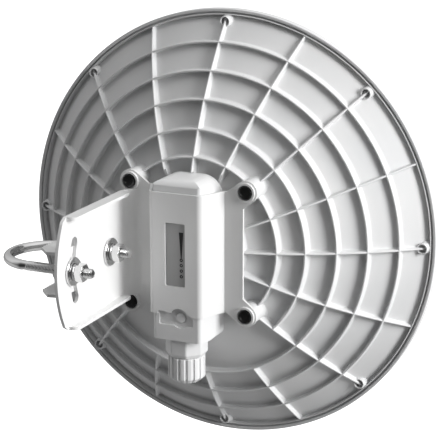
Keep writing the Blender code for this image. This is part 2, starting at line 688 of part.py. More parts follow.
# ---------------------------------------------------------------- cable gland
def make_gland():
    """The collar screws into the housing; the nut squeezes a slip ring and a rubber seal on its spigot."""
    corner_r = COLLAR_AF / 2 / cos(pi / 8)
    octagon = arc((0, 0), corner_r, 22.5, 337.5, 8)
    body = add("gland_body", plate_mesh([octagon], COLLAR_BOTTOM, COLLAR_TOP, "XY"), GLAND)
    taper = rod_mesh(
        (0, 0, 0), 0.0152, COLLAR_TAPER_END, COLLAR_BOTTOM + 0.0004, sides=8, end_radius=corner_r * 0.995
    )
    join(body, taper, turn=(0, 0, pi / 8))
    join(body, rod_mesh((0, 0, 0), SPIGOT_R, SPIGOT_END, COLLAR_BOTTOM + 0.002))
    join(body, rod_mesh((0, 0, 0), NECK_R, COLLAR_TOP - 0.002, -0.0640))
    cut(body, rod_mesh((0, 0, 0), NECK_BORE_R, -0.2, 0.0))
    cut(body, rod_mesh((0, 0, 0), SPIGOT_BORE_R, -0.2, NUT_TOP))
    groove = [(0.0115, -0.07), (0.0115, COLLAR_TOP - 0.0016), (0.0090, COLLAR_TOP - 0.0016), (0.0090, -0.07)]
    groove_cutter = turned("gland_body.groove", groove, GLAND, collection=CUTTERS)
    boolean(body, "DIFFERENCE", groove_cutter)
    paint(body, WHITE_PLASTIC)

    middle = COLLAR_TOP - 0.0006
    section = arc((0.01025, middle), 0.0007, 0, 300, 6)
    paint(turned("gland_oring", section, GLAND), BLACK_RUBBER)

    seal_top, seal_bottom = NUT_TOP - 0.0005, NUT_FLOOR + 0.0019
    seal_r = SPIGOT_BORE_R - GAP
    seal = [(seal_r, seal_top), (seal_r, seal_bottom), (CABLE_BORE_R, seal_bottom), (CABLE_BORE_R, seal_top)]
    paint(turned("gland_seal", seal, GLAND), BLACK_RUBBER)
    ring_top, ring_bottom = NUT_FLOOR + 0.0016, NUT_FLOOR + GAP
    ring = [(0.0116, ring_top), (0.0116, ring_bottom), (0.0074, ring_bottom), (0.0074, ring_top)]
    paint(turned("gland_ring", ring, GLAND), BLACK_PLASTIC)

    inner = SPIGOT_R + 0.0004
    nut_profile = [
        (NUT_R, NUT_TOP),
        (NUT_R, NUT_BOTTOM + 0.0042),
        (NUT_R - 0.0045, NUT_BOTTOM),
        (0.0084, NUT_BOTTOM),
        (0.0084, NUT_FLOOR),
        (inner, NUT_FLOOR),
        (inner, NUT_TOP),
    ]
    nut = turned("gland_nut", nut_profile, GLAND, steps=NUT_FLUTES * 2)
    for index in range(NUT_FLUTES):
        angle = tau * index / NUT_FLUTES
        centre = ((NUT_R + 0.0008) * cos(angle), (NUT_R + 0.0008) * sin(angle), 0)
        cut(nut, rod_mesh(centre, 0.0016, -0.13, -0.0700, sides=8))
    paint(nut, WHITE_PLASTIC)


# ---------------------------------------------------------------- bracket
def flange_outline(side):
    """One half of the base plate, from the sleeve's side out to both ears; side is +1 or -1."""
    inside = SLEEVE_BASE_HALF_W - SLEEVE_T - 0.0006
    upper = arc((BOLT_X, BOLT_X), EAR_R, 125, -45, 12)
    lower = arc((BOLT_X, -BOLT_X), EAR_R, 45, -125, 12)
    points = [(inside, SLEEVE_HALF_H), (SLEEVE_BASE_HALF_W, SLEEVE_HALF_H)]
    points += upper
    points += [(FLANGE_EDGE_X, 0.0370), (FLANGE_EDGE_X, -0.0370)]
    points += lower
    points += [(SLEEVE_BASE_HALF_W, -SLEEVE_HALF_H), (inside, -SLEEVE_HALF_H)]
    return [(side * x, z) for x, z in points]


def sleeve_section():
    """The raised sleeve seen from above: an open hat, as one closed outline."""
    outer = [
        (SLEEVE_BASE_HALF_W, PLATE_BACK + 0.0015),
        (SLEEVE_BACK_HALF_W + 0.0012, SLEEVE_BACK + 0.0026),
        (SLEEVE_BACK_HALF_W - 0.0018, SLEEVE_BACK),
    ]
    inner = [
        (SLEEVE_BACK_HALF_W - 0.0020, SLEEVE_BACK + SLEEVE_T),
        (SLEEVE_BACK_HALF_W - 0.0006, SLEEVE_BACK + SLEEVE_T + 0.0014),
        (SLEEVE_BASE_HALF_W - SLEEVE_T - 0.0008, PLATE_BACK + 0.0015),
    ]
    right = outer + [(-x, y) for x, y in reversed(outer)]
    left = [(-x, y) for x, y in reversed(inner)] + inner
    return right + left


def side_section():
    """The side plate with its bend into the base plate, seen from above."""
    outside = SIDE_FACE_X - SIDE_T
    centre = (SIDE_FACE_X + BEND_R, PLATE_BACK - BEND_R)
    inner = arc(centre, BEND_R, 180, 90, 7)
    outer = arc(centre, BEND_R + SIDE_T, 90, 180, 7)
    flat = [(-0.0360, PLATE_BACK), (-0.0360, PLATE_FRONT)]
    return [(SIDE_FACE_X, -0.2), *inner, *flat, *outer, (outside, -0.2)]


def side_outline():
    """The side plate seen along X: its rear edge is an arc about the pivot, with rounded corners."""
    half = SIDE_HALF_H
    corner = 0.0030
    reach = sqrt(EDGE_R * EDGE_R - half * half)
    heights = [(half - corner) * (1 - i / 5) for i in range(11)]
    edge = [(PIVOT_Y - sqrt(EDGE_R * EDGE_R - z * z), z) for z in heights]
    top_corner = (PIVOT_Y - reach + corner, half)
    return [(-0.07, half), top_corner, *edge, (top_corner[0], -half), (-0.07, -half)]


def lip_outline():
    """A stiffening lip seen from above, with its free corners rounded off."""
    outside = SIDE_FACE_X - SIDE_T
    free = outside + LIP_W
    rear = PIVOT_Y - 0.0680
    front = PLATE_BACK - BEND_R
    return [
        (outside + 0.0003, rear),
        (outside + 0.0040, rear),
        (free - 0.0015, rear + 0.0050),
        (free, rear + 0.0090),
        (free, front - 0.0030),
        (free - 0.0025, front),
        (outside + 0.0003, front),
    ]


def slot_outline():
    """An arc slot about the pivot, seen along X."""
    middle, half = STUD_SPAN, SLOT_W / 2
    lowest, highest = 180 - SLOT_REACH_DEG, 180 + SLOT_REACH_DEG
    outer = arc((PIVOT_Y, 0), middle + half, lowest, highest, 12)
    inner = arc((PIVOT_Y, 0), middle - half, highest, lowest, 12)
    far = arc((PIVOT_Y, 0), middle, highest, highest, 2)[0]
    near = arc((PIVOT_Y, 0), middle, lowest, lowest, 2)[0]
    far_end = arc(far, half, highest, highest + 180, 7)[1:-1]
    near_end = arc(near, half, lowest + 180, lowest + 360, 7)[1:-1]
    return outer + far_end + inner + near_end


def make_bracket():
    bracket = add("bracket", plate_mesh([flange_outline(1)], PLATE_BACK, PLATE_FRONT, "XZ"), DISH)
    join(bracket, plate_mesh([sleeve_section()], -SLEEVE_HALF_H, SLEEVE_HALF_H, "XY"))
    join(bracket, plate_mesh([flange_outline(-1)], PLATE_BACK, PLATE_FRONT, "XZ"))
    side = add("bracket.side", plate_mesh([side_section()], -0.06, 0.06, "XY"), DISH, collection=CUTTERS)
    side_mesh = plate_mesh([side_outline()], -0.08, -0.02, "YZ")
    side_shape = add("bracket.side_outline", side_mesh, DISH, collection=CUTTERS)
    boolean(side, "INTERSECT", side_shape)
    boolean(bracket, "UNION", side)
    for low in (SIDE_HALF_H - LIP_T, -SIDE_HALF_H - 0.0002):
        join(bracket, plate_mesh([lip_outline()], low, low + LIP_T + 0.0002, "XY"))
    for x, z in bolt_places():
        join(bracket, rod_mesh((x, 0, z), 0.0080, EAR_BACK, PLATE_FRONT - 0.0005, "Y", sides=32))
    for x, z in bolt_places():
        cut(bracket, rod_mesh((x, 0, z), BOLT_R + GAP, -0.09, -0.07, "Y", sides=16))
        cut(bracket, rod_mesh((x, 0, z), 0.0061, -0.09, EAR_SEAT, "Y"))
    half_w, half_h = WINDOW_HALF
    cut(bracket, box_mesh((-half_w, -0.11, -half_h), (half_w, -0.09, half_h)))
    cut(bracket, box_mesh((-0.0150, -0.11, -0.06), (0.0140, -0.09, -0.0465)))
    cut(bracket, rod_mesh((BUTTON_X, 0, BUTTON_Z), 0.0086, -0.11, -0.09, "Y", sides=32))
    cut(bracket, rod_mesh((0, PIVOT_Y, 0), SLOT_W / 2, -0.07, -0.04, "X"))
    cut(bracket, plate_mesh([slot_outline()], -0.07, -0.04, "YZ"))
    paint(bracket, WHITE_PAINT)

    for index, (x, z) in enumerate(bolt_places()):
        corner_r = BOLT_HEAD_AF / 2 / cos(pi / 6)
        seat = EAR_SEAT - GAP
        head = rod_mesh((0, 0, 0), corner_r, seat - BOLT_HEAD_H, seat, "Y", sides=6)
        bolt = add(f"bracket_bolt_{index + 1}", head, DISH, (x, 0, z))
        join(bolt, rod_mesh((0, 0, 0), BOLT_R, seat - 0.001, -0.0610, "Y", sides=16), (x, 0, z))
        paint(bolt, BLACK_STEEL)


# ---------------------------------------------------------------- pole clamp
def jaw_outline():
    """One toothed jaw seen from above: a shallow V for the pole between two toothed edges."""
    web = CLAMP_WEB_X
    half = CLAMP_HALF_L
    notch_half, notch_depth = 0.0150, 0.0090
    chamfer = 0.0108
    tip = half - chamfer
    edge = [(JAW_X, tip), (JAW_X, notch_half), (JAW_X + notch_depth, 0), (JAW_X, -notch_half), (JAW_X, -tip)]
    toothed = [edge[0]]
    for start, end in zip(edge, edge[1:]):
        start, end = Vector(start), Vector(end)
        run = end - start
        count = max(2, round(run.length / TOOTH_PITCH))
        inward = Vector((abs(run.y), -run.x if run.y < 0 else run.x)).normalized()
        for index in range(count):
            valley = start + run * ((index + 0.5) / count) + inward * TOOTH_DEPTH
            crest = start + run * ((index + 1) / count)
            toothed += [tuple(valley), tuple(crest)]
    corner = JAW_X + chamfer * 0.95
    points = [(web, half - 0.002), (corner, half), *toothed, (corner, -half), (web, -half + 0.002)]
    return [(x, MID_Y + y) for x, y in points]


def make_clamp():
    web_low = (CLAMP_WEB_X - CLAMP_T, MID_Y - CLAMP_HALF_L + 0.001, -CLAMP_HALF_H + 0.0004)
    web_high = (CLAMP_WEB_X, MID_Y + CLAMP_HALF_L - 0.001, CLAMP_HALF_H - 0.0004)
    clamp = add("v_clamp", box_mesh(web_low, web_high), CLAMP)
    for low in (CLAMP_HALF_H - CLAMP_T, -CLAMP_HALF_H):
        join(clamp, plate_mesh([jaw_outline()], low, low + CLAMP_T, "XY"))
    for y in (PIVOT_Y, PIVOT_Y - STUD_SPAN):
        cut(clamp, rod_mesh((0, y, 0), SLOT_W / 2, -0.07, -0.04, "X"))
    paint(clamp, WHITE_PAINT)


def make_u_bolt():
    """A round rod bent half round the pole, with both legs along +X; its origin is on the pivot stud."""
    curve = bpy.data.curves.new("u_bolt", "CURVE")
    curve.dimensions = "3D"
    curve.bevel_depth = ROD_R
    curve.bevel_resolution = 3
    curve.use_fill_caps = True
    bow = arc((BOW_X, -STUD_SPAN / 2), STUD_SPAN / 2, 90, 270, 19)
    path = [(STUD_TIP_X, 0), (-0.0600, 0), *bow, (-0.0600, -STUD_SPAN), (STUD_TIP_X, -STUD_SPAN)]
    spline = curve.splines.new("POLY")
    spline.points.add(len(path) - 1)
    for point, (x, y) in zip(spline.points, path):
        point.co = (x, y, 0, 1)
    bolt = add("u_bolt", curve, CLAMP, (0, PIVOT_Y, 0))
    curve.materials.append(STAINLESS)
    return bolt


def make_stud_hardware():
    """On each stud, from the side plate outwards: flat washer, split spring washer, hexagon nut."""
    for index, y in enumerate((PIVOT_Y, PIVOT_Y - STUD_SPAN)):
        face = SIDE_FACE_X + GAP
        place = (face, y, 0)
        along = (0, pi / 2, 0)
        bore = ROD_R + 0.0004
        flat = [(0.0112, 0.0018), (0.0112, 0.0), (bore, 0.0), (bore, 0.0018)]
        paint(turned(f"flat_washer_{index + 1}", flat, CLAMP, place, along, steps=24), STAINLESS)
        split = [(0.0068, 0.0039), (0.0068, 0.0021), (bore, 0.0021), (bore, 0.0039)]
        spring = turned(f"spring_washer_{index + 1}", split, CLAMP, place, along, steps=24)
        cut(spring, box_mesh((0.0, -0.0005, 0.0), (0.01, 0.0005, 0.006)), place, along)
        paint(spring, STAINLESS)
        corner_r = NUT_AF / 2 / cos(pi / 6)
        hexagon = rod_mesh((0, 0, 0), corner_r, 0.0042, 0.0106, sides=6)
        nut = add(f"hex_nut_{index + 1}", hexagon, CLAMP, place, along)
        cut(nut, rod_mesh((0, 0, 0), bore, -0.01, 0.02, sides=24), place, along)
        paint(nut, STAINLESS)


make_dish()
make_radome()
make_feed()
make_housing()
make_electronics()
make_gland()
make_bracket()
make_clamp()
make_u_bolt()
make_stud_hardware()
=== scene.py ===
"""Looks of the outdoor wireless bridge: a ribbed dish seen from behind, its radio housing and pole bracket.

Pieces are modelled in millimetres in the dish frame (origin on the dish's axis in the rim's back plane,
+Y along the boresight, +Z up) and placed in the part's frame, in metres, from the CAD boxes.
"""
from math import atan2, cos, floor, hypot, pi, radians, sin, sqrt, tau

import bmesh
import bpy
from mathutils import Matrix, Vector


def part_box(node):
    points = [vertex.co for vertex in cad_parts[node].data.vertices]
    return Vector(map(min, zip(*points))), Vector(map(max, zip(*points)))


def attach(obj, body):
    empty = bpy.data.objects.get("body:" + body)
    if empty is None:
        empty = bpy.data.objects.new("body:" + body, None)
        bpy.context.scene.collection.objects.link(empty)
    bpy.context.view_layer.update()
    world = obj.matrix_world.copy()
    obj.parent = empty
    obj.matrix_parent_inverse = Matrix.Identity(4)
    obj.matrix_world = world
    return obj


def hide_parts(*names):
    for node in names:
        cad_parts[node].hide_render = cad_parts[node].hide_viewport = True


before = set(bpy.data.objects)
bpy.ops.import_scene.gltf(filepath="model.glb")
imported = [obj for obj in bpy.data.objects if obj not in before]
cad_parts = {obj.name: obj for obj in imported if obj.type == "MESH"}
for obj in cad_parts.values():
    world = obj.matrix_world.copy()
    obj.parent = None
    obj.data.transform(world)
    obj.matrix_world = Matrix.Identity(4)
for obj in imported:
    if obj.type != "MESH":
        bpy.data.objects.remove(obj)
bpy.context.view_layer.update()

MM = 0.001

# ---------------------------------------------------------------- places and sizes taken from the frame
RADOME_LOW, RADOME_HIGH = (Vector(corner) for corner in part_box("radome"))
DISH_PLACE = Vector(((RADOME_LOW.x + RADOME_HIGH.x) / 2, RADOME_LOW.y, (RADOME_LOW.z + RADOME_HIGH.z) / 2))
RIM_R = (RADOME_HIGH.x - RADOME_LOW.x) / 2 / MM
DOME_APEX = -(RADOME_HIGH.y - RADOME_LOW.y) / MM


def local_box(node):
    """A CAD node's corners in the dish frame, in millimetres."""
    return [(Vector(corner) - DISH_PLACE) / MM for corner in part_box(node)]


HOUSING_LOW, HOUSING_HIGH = local_box("housing_rear")
BODY_LOW, BODY_HIGH = local_box("gland_body")
NUT_LOW, NUT_HIGH = local_box("gland_nut")
ROD_LOW, ROD_HIGH = local_box("u_bolt")
CLAMP_LOW, CLAMP_HIGH = local_box("v_clamp")
BUTTON_LOW, BUTTON_HIGH = local_box("reset_button")

# Dish: the floor between the ribs and the ribs' tops are two paraboloids about the boresight
SHELL_T = 2.2
RIB_T = 1.8
FLOOR_DEPTH, FLOOR_CURVE = 70.0, 2.369e-3
RIB_DEPTH, RIB_CURVE = 80.0, 2.525e-3
RIB_FILLET = 1.1
FOOT_SINK = SHELL_T * 0.6
RING_RS = (114.2, 135.5, 156.7)
OPEN_RING_RS = (71.2, 92.1)
OPEN_RING_START, OPEN_RING_END = -45, 225
WALL_R, WALL_ROUND, WALL_FOOT = 177.0, 0.7, 0.8
FLANGE_R, FLANGE_BACK, FLANGE_FRONT = RIM_R - 2.9, -3.2, -7.0
BOWL_R = 169.0
HUB_R, HUB_TOP, HUB_FLAT_R = 46.6, 74.0, 36.1
FEED_HOLE_R = 20.0
SPOKES, BOSSES = 16, 8
BOTTOM_SPOKES = (11, 12, 13)
BOSS_CIRCLE_R, BOSS_R, BOSS_TOP = 172.9, 4.6, 4.7
POST_R, POST_TOP, POST_FLOOR = 8.5, 75.2, 61.0
RADOME_T, SKIRT_END = 2.0, -8.0
DOME_START, DOME_POWER = -10.5, 2.5
TURN_STEPS = 288

# Radio housing
SEAM_Y, LID_BACK_Y = -70.15, -69.9
HOUSING_KNEE_Y, HOUSING_BACK_HALF_W = -83.0, 20.2
HOUSING_TOP_CORNER, HOUSING_LOW_CORNER, HOUSING_NOSE = 18, 5, 9.5
ROOM_MARGIN, ROOM_FRONT_Y = 0.6, -67.0

# Bracket
BOLT_X = 50.8
PLATE_MID_Y, PLATE_T = -76.75, 2.5
BOLT_SEAT_Y = -77.5
SLEEVE_BACK_Y, SLEEVE_T, SLEEVE_HALF_H = -101.5, 1.8, 50.0
FLANGE_EDGE_X, EAR_R = 48.3, 9.3
SIDE_X, SIDE_T, BEND_R = -52.0, 2.5, 12.0
SIDE_HALF_H = 44.5
PIVOT_Y, STUD_SPAN = -112.4, 61.1
EDGE_R, SLOT_W = 84.6, 9.0
LIP_W, LIP_T = 10.0, 2.4
WINDOW_HALF_W, WINDOW_HALF_H = 8.7, 26.0
BUTTON_X = (BUTTON_LOW.x + BUTTON_HIGH.x) / 2
BUTTON_Z = (BUTTON_LOW.z + BUTTON_HIGH.z) / 2
BUTTON_R = (BUTTON_HIGH.x - BUTTON_LOW.x) / 2

# Gland
GLAND_Y = (NUT_LOW.y + NUT_HIGH.y) / 2
COLLAR_AF = BODY_HIGH.y - BODY_LOW.y
NUT_R = (NUT_HIGH.x - NUT_LOW.x) / 2
GLAND_PLACE = (0, GLAND_Y, 0)

# Pole clamp
ROD_R = 4.0
MID_Y = PIVOT_Y - STUD_SPAN / 2
CLAMP_T = 2.5
THREAD_PITCH, THREAD_DEPTH = 1.25, 0.62

# The studio floor's height, in metres
FLOOR_Z = -0.32

LOOKS = bpy.data.collections.new("looks")
bpy.context.scene.collection.children.link(LOOKS)


# ---------------------------------------------------------------- materials
def shader_material(name, colour, roughness, metallic=0.0, coat=0.0):
    made = bpy.data.materials.new(name)
    made.use_nodes = True
    made.diffuse_color = (*colour, 1.0)
    shader = made.node_tree.nodes["Principled BSDF"]
    shader.inputs["Base Color"].default_value = (*colour, 1.0)
    shader.inputs["Roughness"].default_value = roughness
    shader.inputs["Metallic"].default_value = metallic
    shader.inputs["Coat Weight"].default_value = coat
    return made


def add_node(tree, kind, **inputs):
    node = tree.nodes.new(kind)
    for name, value in inputs.items():
        node.inputs[name].default_value = value
    return node


def noise(tree, scale, detail=3.0, stretch=None):
    """A noise texture in object space, whose scale is in cycles per metre."""
    coordinates = tree.nodes.new("ShaderNodeTexCoord")
    mapping = tree.nodes.new("ShaderNodeMapping")
    if stretch:
        mapping.inputs["Scale"].default_value = stretch
    texture = add_node(tree, "ShaderNodeTexNoise", Scale=scale, Detail=detail)
    tree.links.new(coordinates.outputs["Object"], mapping.inputs["Vector"])
    tree.links.new(mapping.outputs["Vector"], texture.inputs["Vector"])
    return texture


def ranged(tree, source, low, high):
    """Maps the middle of a noise's range to low..high."""
    node = add_node(tree, "ShaderNodeMapRange")
    node.inputs["From Min"].default_value = 0.3
    node.inputs["From Max"].default_value = 0.7
    node.inputs["To Min"].default_value = low
    node.inputs["To Max"].default_value = high
    tree.links.new(source, node.inputs["Value"])
    return node.outputs["Result"]


def tinted(tree, source, dark, light):
    ramp = tree.nodes.new("ShaderNodeValToRGB")
    ramp.color_ramp.elements[0].position = 0.3
    ramp.color_ramp.elements[1].position = 0.7
    ramp.color_ramp.elements[0].color = (*dark, 1.0)
    ramp.color_ramp.elements[1].color = (*light, 1.0)
    tree.links.new(source, ramp.inputs["Fac"])
    return ramp.outputs["Color"]


def add_bump(tree, source, strength, distance):
    bump = add_node(tree, "ShaderNodeBump", Strength=strength, Distance=distance)
    tree.links.new(source, bump.inputs["Height"])
    tree.links.new(bump.outputs["Normal"], tree.nodes["Principled BSDF"].inputs["Normal"])


def surface_material(
    name, dark, light, rough, metallic=0.0, coat=0.0, grain=(900.0, 0.15, 5e-5), cloud=18.0, stretch=None
):
    """Cloudy colour and gloss at the scale of the piece, with a fine grain in relief.

    rough is a range of roughness; grain is cycles per metre, strength and height in metres.
    """
    cycles, strength, height = grain
    middle = tuple((a + b) / 2 for a, b in zip(dark, light))
    made = shader_material(name, middle, sum(rough) / 2, metallic, coat)
    tree = made.node_tree
    shader = tree.nodes["Principled BSDF"]
    clouds = noise(tree, cloud, 5.0)
    tree.links.new(tinted(tree, clouds.outputs["Fac"], dark, light), shader.inputs["Base Color"])
    patches = noise(tree, cloud * 4, 4.0, stretch)
    tree.links.new(ranged(tree, patches.outputs["Fac"], *rough), shader.inputs["Roughness"])
    fine = noise(tree, cycles, 3.0, stretch)
    add_bump(tree, fine.outputs["Fac"], strength, height)
    return made


WHITE_PLASTIC = surface_material(
    "moulded_white_plastic", (0.76, 0.765, 0.77), (0.80, 0.80, 0.80), (0.36, 0.48),
    grain=(1400.0, 0.25, 4e-5),
)
DISH_PLASTIC = surface_material(
    "dish_white_plastic", (0.745, 0.75, 0.755), (0.785, 0.785, 0.785), (0.42, 0.55),
    grain=(1100.0, 0.25, 5e-5),
)
POWDER_COAT = surface_material(
    "white_powder_coat", (0.80, 0.80, 0.80), (0.835, 0.835, 0.83), (0.28, 0.38),
    coat=0.15, grain=(700.0, 0.3, 7e-5),
)
BRIGHT_STEEL = surface_material(
    "bright_stainless", (0.66, 0.66, 0.66), (0.78, 0.78, 0.78), (0.04, 0.10), 1.0,
    grain=(1500.0, 0.08, 2e-5), stretch=(0.15, 1.0, 1.0),
)
WASHER_STEEL = surface_material(
    "washer_steel", (0.46, 0.46, 0.46), (0.60, 0.60, 0.60), (0.22, 0.38), 1.0,
    grain=(1500.0, 0.15, 2e-5),
)
BLACK_OXIDE = surface_material(
    "black_oxide_steel", (0.05, 0.05, 0.052), (0.10, 0.10, 0.10), (0.16, 0.28), 0.9,
    grain=(1200.0, 0.2, 3e-5),
)
ALUMINIUM = surface_material(
    "turned_aluminium", (0.62, 0.62, 0.63), (0.75, 0.75, 0.76), (0.25, 0.38), 1.0,
    grain=(1500.0, 0.2, 2e-5),
)
RUBBER = surface_material("black_rubber", (0.015, 0.015, 0.015), (0.04, 0.04, 0.04), (0.65, 0.85))
BLACK_PLASTIC = surface_material("black_plastic", (0.02, 0.02, 0.02), (0.045, 0.045, 0.045), (0.4, 0.55))
BOARD = surface_material(
    "solder_mask", (0.01, 0.09, 0.03), (0.03, 0.16, 0.06), (0.3, 0.45), coat=0.3, cloud=160.0
)
TIN = surface_material("tinned_steel", (0.5, 0.5, 0.49), (0.65, 0.65, 0.63), (0.25, 0.45), 1.0)
LABEL = surface_material(
    "label_film", (0.36, 0.36, 0.36), (0.43, 0.43, 0.43), (0.35, 0.45), grain=(2500.0, 0.1, 2e-5)
)
INK = surface_material("label_ink", (0.008, 0.008, 0.008), (0.016, 0.016, 0.016), (0.35, 0.45))
CLEAR = surface_material("clear_light_guide", (0.80, 0.83, 0.83), (0.86, 0.88, 0.88), (0.08, 0.16))


# ---------------------------------------------------------------- mesh building
def arc(centre, radius, start, end, count):
    """Points on an arc in a plane, both ends included; angles in degrees."""
    turns = [radians(start + (end - start) * i / (count - 1)) for i in range(count)]
    return [(centre[0] + radius * cos(a), centre[1] + radius * sin(a)) for a in turns]


def circle(centre, radius, count=48):
    return arc(centre, radius, 0, 360 - 360 / count, count)


def filleted(points, radii, count=8, closed=True):
    """The polygon with its corners rounded to the given radii."""
    made = []
    total = len(points)
    for index, (point, radius) in enumerate(zip(points, radii)):
        if radius <= 0 or (not closed and index in (0, total - 1)):
            made.append(tuple(point))
            continue
        here = Vector(point)
        before = (Vector(points[index - 1]) - here).normalized()
        after = (Vector(points[(index + 1) % total]) - here).normalized()
        half = before.angle(after) / 2
        reach = radius / sin(half)
        centre = here + (before + after).normalized() * reach
        first = here + before * (reach * cos(half)) - centre
        last = here + after * (reach * cos(half)) - centre
        start = atan2(first.y, first.x)
        sweep = atan2(last.y, last.x) - start
        sweep -= tau * floor((sweep + pi) / tau)
        for step in range(count + 1):
            angle = start + sweep * step / count
            made.append((centre.x + radius * cos(angle), centre.y + radius * sin(angle)))
    return made


def sheet_outline(path, thickness):
    """The closed outline of a bent sheet from its middle line."""
    left, right = [], []
    for index, point in enumerate(path):
        before = Vector(path[max(index - 1, 0)])
        after = Vector(path[min(index + 1, len(path) - 1)])
        along = (after - before).normalized()
        across = Vector((-along.y, along.x)) * (thickness / 2)
        left.append(tuple(Vector(point) + across))
        right.append(tuple(Vector(point) - across))
    return left + right[::-1]


def grid(rows, close_rows=False, close_columns=True, cap=False):
    """A skin over rows of points. cap fills the first and last rows with one face each."""
    bm = bmesh.new()
    made = [[bm.verts.new(point) for point in row] for row in rows]
    pairs = list(zip(made, made[1:])) + ([(made[-1], made[0])] if close_rows else [])
    for low, high in pairs:
        count = len(low)
        for i in range(count if close_columns else count - 1):
            j = (i + 1) % count
            bm.faces.new((low[i], low[j], high[j], high[i]))
    if cap:
        bm.faces.new(made[0][::-1])
        bm.faces.new(made[-1])
    bmesh.ops.remove_doubles(bm, verts=bm.verts, dist=1e-5)
    bmesh.ops.recalc_face_normals(bm, faces=bm.faces)
    return bm


def lathe(profile, steps=96, closed=True):
    """Turns (radius, height) points about Z. A closed profile meets itself; an open one ends on the axis."""
    rows = []
    for r, z in profile:
        rows.append([(r * cos(tau * i / steps), r * sin(tau * i / steps), z) for i in range(steps)])
    return grid(rows, close_rows=closed)


PLANES = {
    "XY": Matrix.Identity(4),
    "XZ": Matrix(((1, 0, 0, 0), (0, 0, -1, 0), (0, 1, 0, 0), (0, 0, 0, 1))),
    "YZ": Matrix(((0, 0, 1, 0), (1, 0, 0, 0), (0, 1, 0, 0), (0, 0, 0, 1))),
}


def slab(outlines, low, high, plane="XY"):
    """Flat outlines extruded between two levels; an outline inside another is a hole."""
    curve = bpy.data.curves.new("outline", "CURVE")
    curve.dimensions = "2D"
    curve.fill_mode = "BOTH"
    curve.extrude = (high - low) / 2
    for outline in outlines:
        spline = curve.splines.new("POLY")
        spline.points.add(len(outline) - 1)
        for point, (u, v) in zip(spline.points, outline):
            point.co = (u, v, 0, 1)
        spline.use_cyclic_u = True
    holder = bpy.data.objects.new("outline", curve)
    LOOKS.objects.link(holder)
    graph = bpy.context.evaluated_depsgraph_get()
    mesh = bpy.data.meshes.new_from_object(holder.evaluated_get(graph))
    bpy.data.objects.remove(holder)
    level = (low + high) / 2
    offset = {"XY": (0, 0, level), "XZ": (0, level, 0), "YZ": (level, 0, 0)}[plane]
    mesh.transform(Matrix.Translation(offset) @ PLANES[plane])
    bm = bmesh.new()
    bm.from_mesh(mesh)
    bpy.data.meshes.remove(mesh)
    bmesh.ops.remove_doubles(bm, verts=bm.verts, dist=1e-4)
    bmesh.ops.recalc_face_normals(bm, faces=bm.faces)
    return bm


def block(low, high):
    bm = bmesh.new()
    low, high = Vector(low), Vector(high)
    size = Matrix.Diagonal((*(high - low), 1.0))
    bmesh.ops.create_cube(bm, size=1.0, matrix=Matrix.Translation((low + high) / 2) @ size)
    return bm


TURNS = {
    "X": Matrix.Rotation(pi / 2, 4, "Y"),
    "Y": Matrix.Rotation(-pi / 2, 4, "X"),
    "-Y": Matrix.Rotation(pi / 2, 4, "X"),
    "Z": Matrix.Identity(4),
}


def placed(bm, place=(0, 0, 0), axis="Z"):
    """Turns a shape's own Z to an axis of the dish frame, then moves it."""
    bm.transform(Matrix.Translation(place) @ TURNS[axis])
    return bm


def rod(centre, radius, low, high, axis="Z", steps=48):
    ends = [(0, high), (radius, high), (radius, low), (0, low)]
    return placed(lathe(ends, steps, closed=False), centre, axis)


def merged(*shapes):
    """Several shapes in one mesh, each a closed body of its own."""
    made = bmesh.new()
    for shape in shapes:
        mesh = bpy.data.meshes.new("part")
        shape.to_mesh(mesh)
        shape.free()
        made.from_mesh(mesh)
        bpy.data.meshes.remove(mesh)
    return made


def temporary(bm):
    mesh = bpy.data.meshes.new("tool")
    bm.to_mesh(mesh)
    bm.free()
    made = bpy.data.objects.new("tool", mesh)
    LOOKS.objects.link(made)
    return made


def combined(base, *steps):
    """Applies ("UNION" | "DIFFERENCE" | "INTERSECT", shape) steps to a shape."""
    target = temporary(base)
    tools = []
    for operation, shape in steps:
        tool = temporary(shape)
        tools.append(tool)
        modifier = target.modifiers.new(operation, "BOOLEAN")
        modifier.operation = operation
        modifier.solver = "EXACT"
        modifier.object = tool
    graph = bpy.context.evaluated_depsgraph_get()
    mesh = bpy.data.meshes.new_from_object(target.evaluated_get(graph))
    for obj in (target, *tools):
        old = obj.data
        bpy.data.objects.remove(obj)
        bpy.data.meshes.remove(old)
    made = bmesh.new()
    made.from_mesh(mesh)
    bpy.data.meshes.remove(mesh)
    bmesh.ops.remove_doubles(made, verts=made.verts, dist=1e-3)
    bmesh.ops.dissolve_limit(made, angle_limit=radians(1), verts=made.verts, edges=made.edges)
    return made


def softened(bm, width, segments=2, angle=32):
    """Rounds the edges sharper than an angle, as a bevel modifier does."""
    target = temporary(bm)
    modifier = target.modifiers.new("edges", "BEVEL")
    modifier.width = width
    modifier.segments = segments
    modifier.limit_method = "ANGLE"
    modifier.angle_limit = radians(angle)
    modifier.use_clamp_overlap = True
    modifier.miter_outer = "MITER_ARC"
    graph = bpy.context.evaluated_depsgraph_get()
    mesh = bpy.data.meshes.new_from_object(target.evaluated_get(graph))
    old = target.data
    bpy.data.objects.remove(target)
    bpy.data.meshes.remove(old)
    made = bmesh.new()
    made.from_mesh(mesh)
    bpy.data.meshes.remove(mesh)
    return made


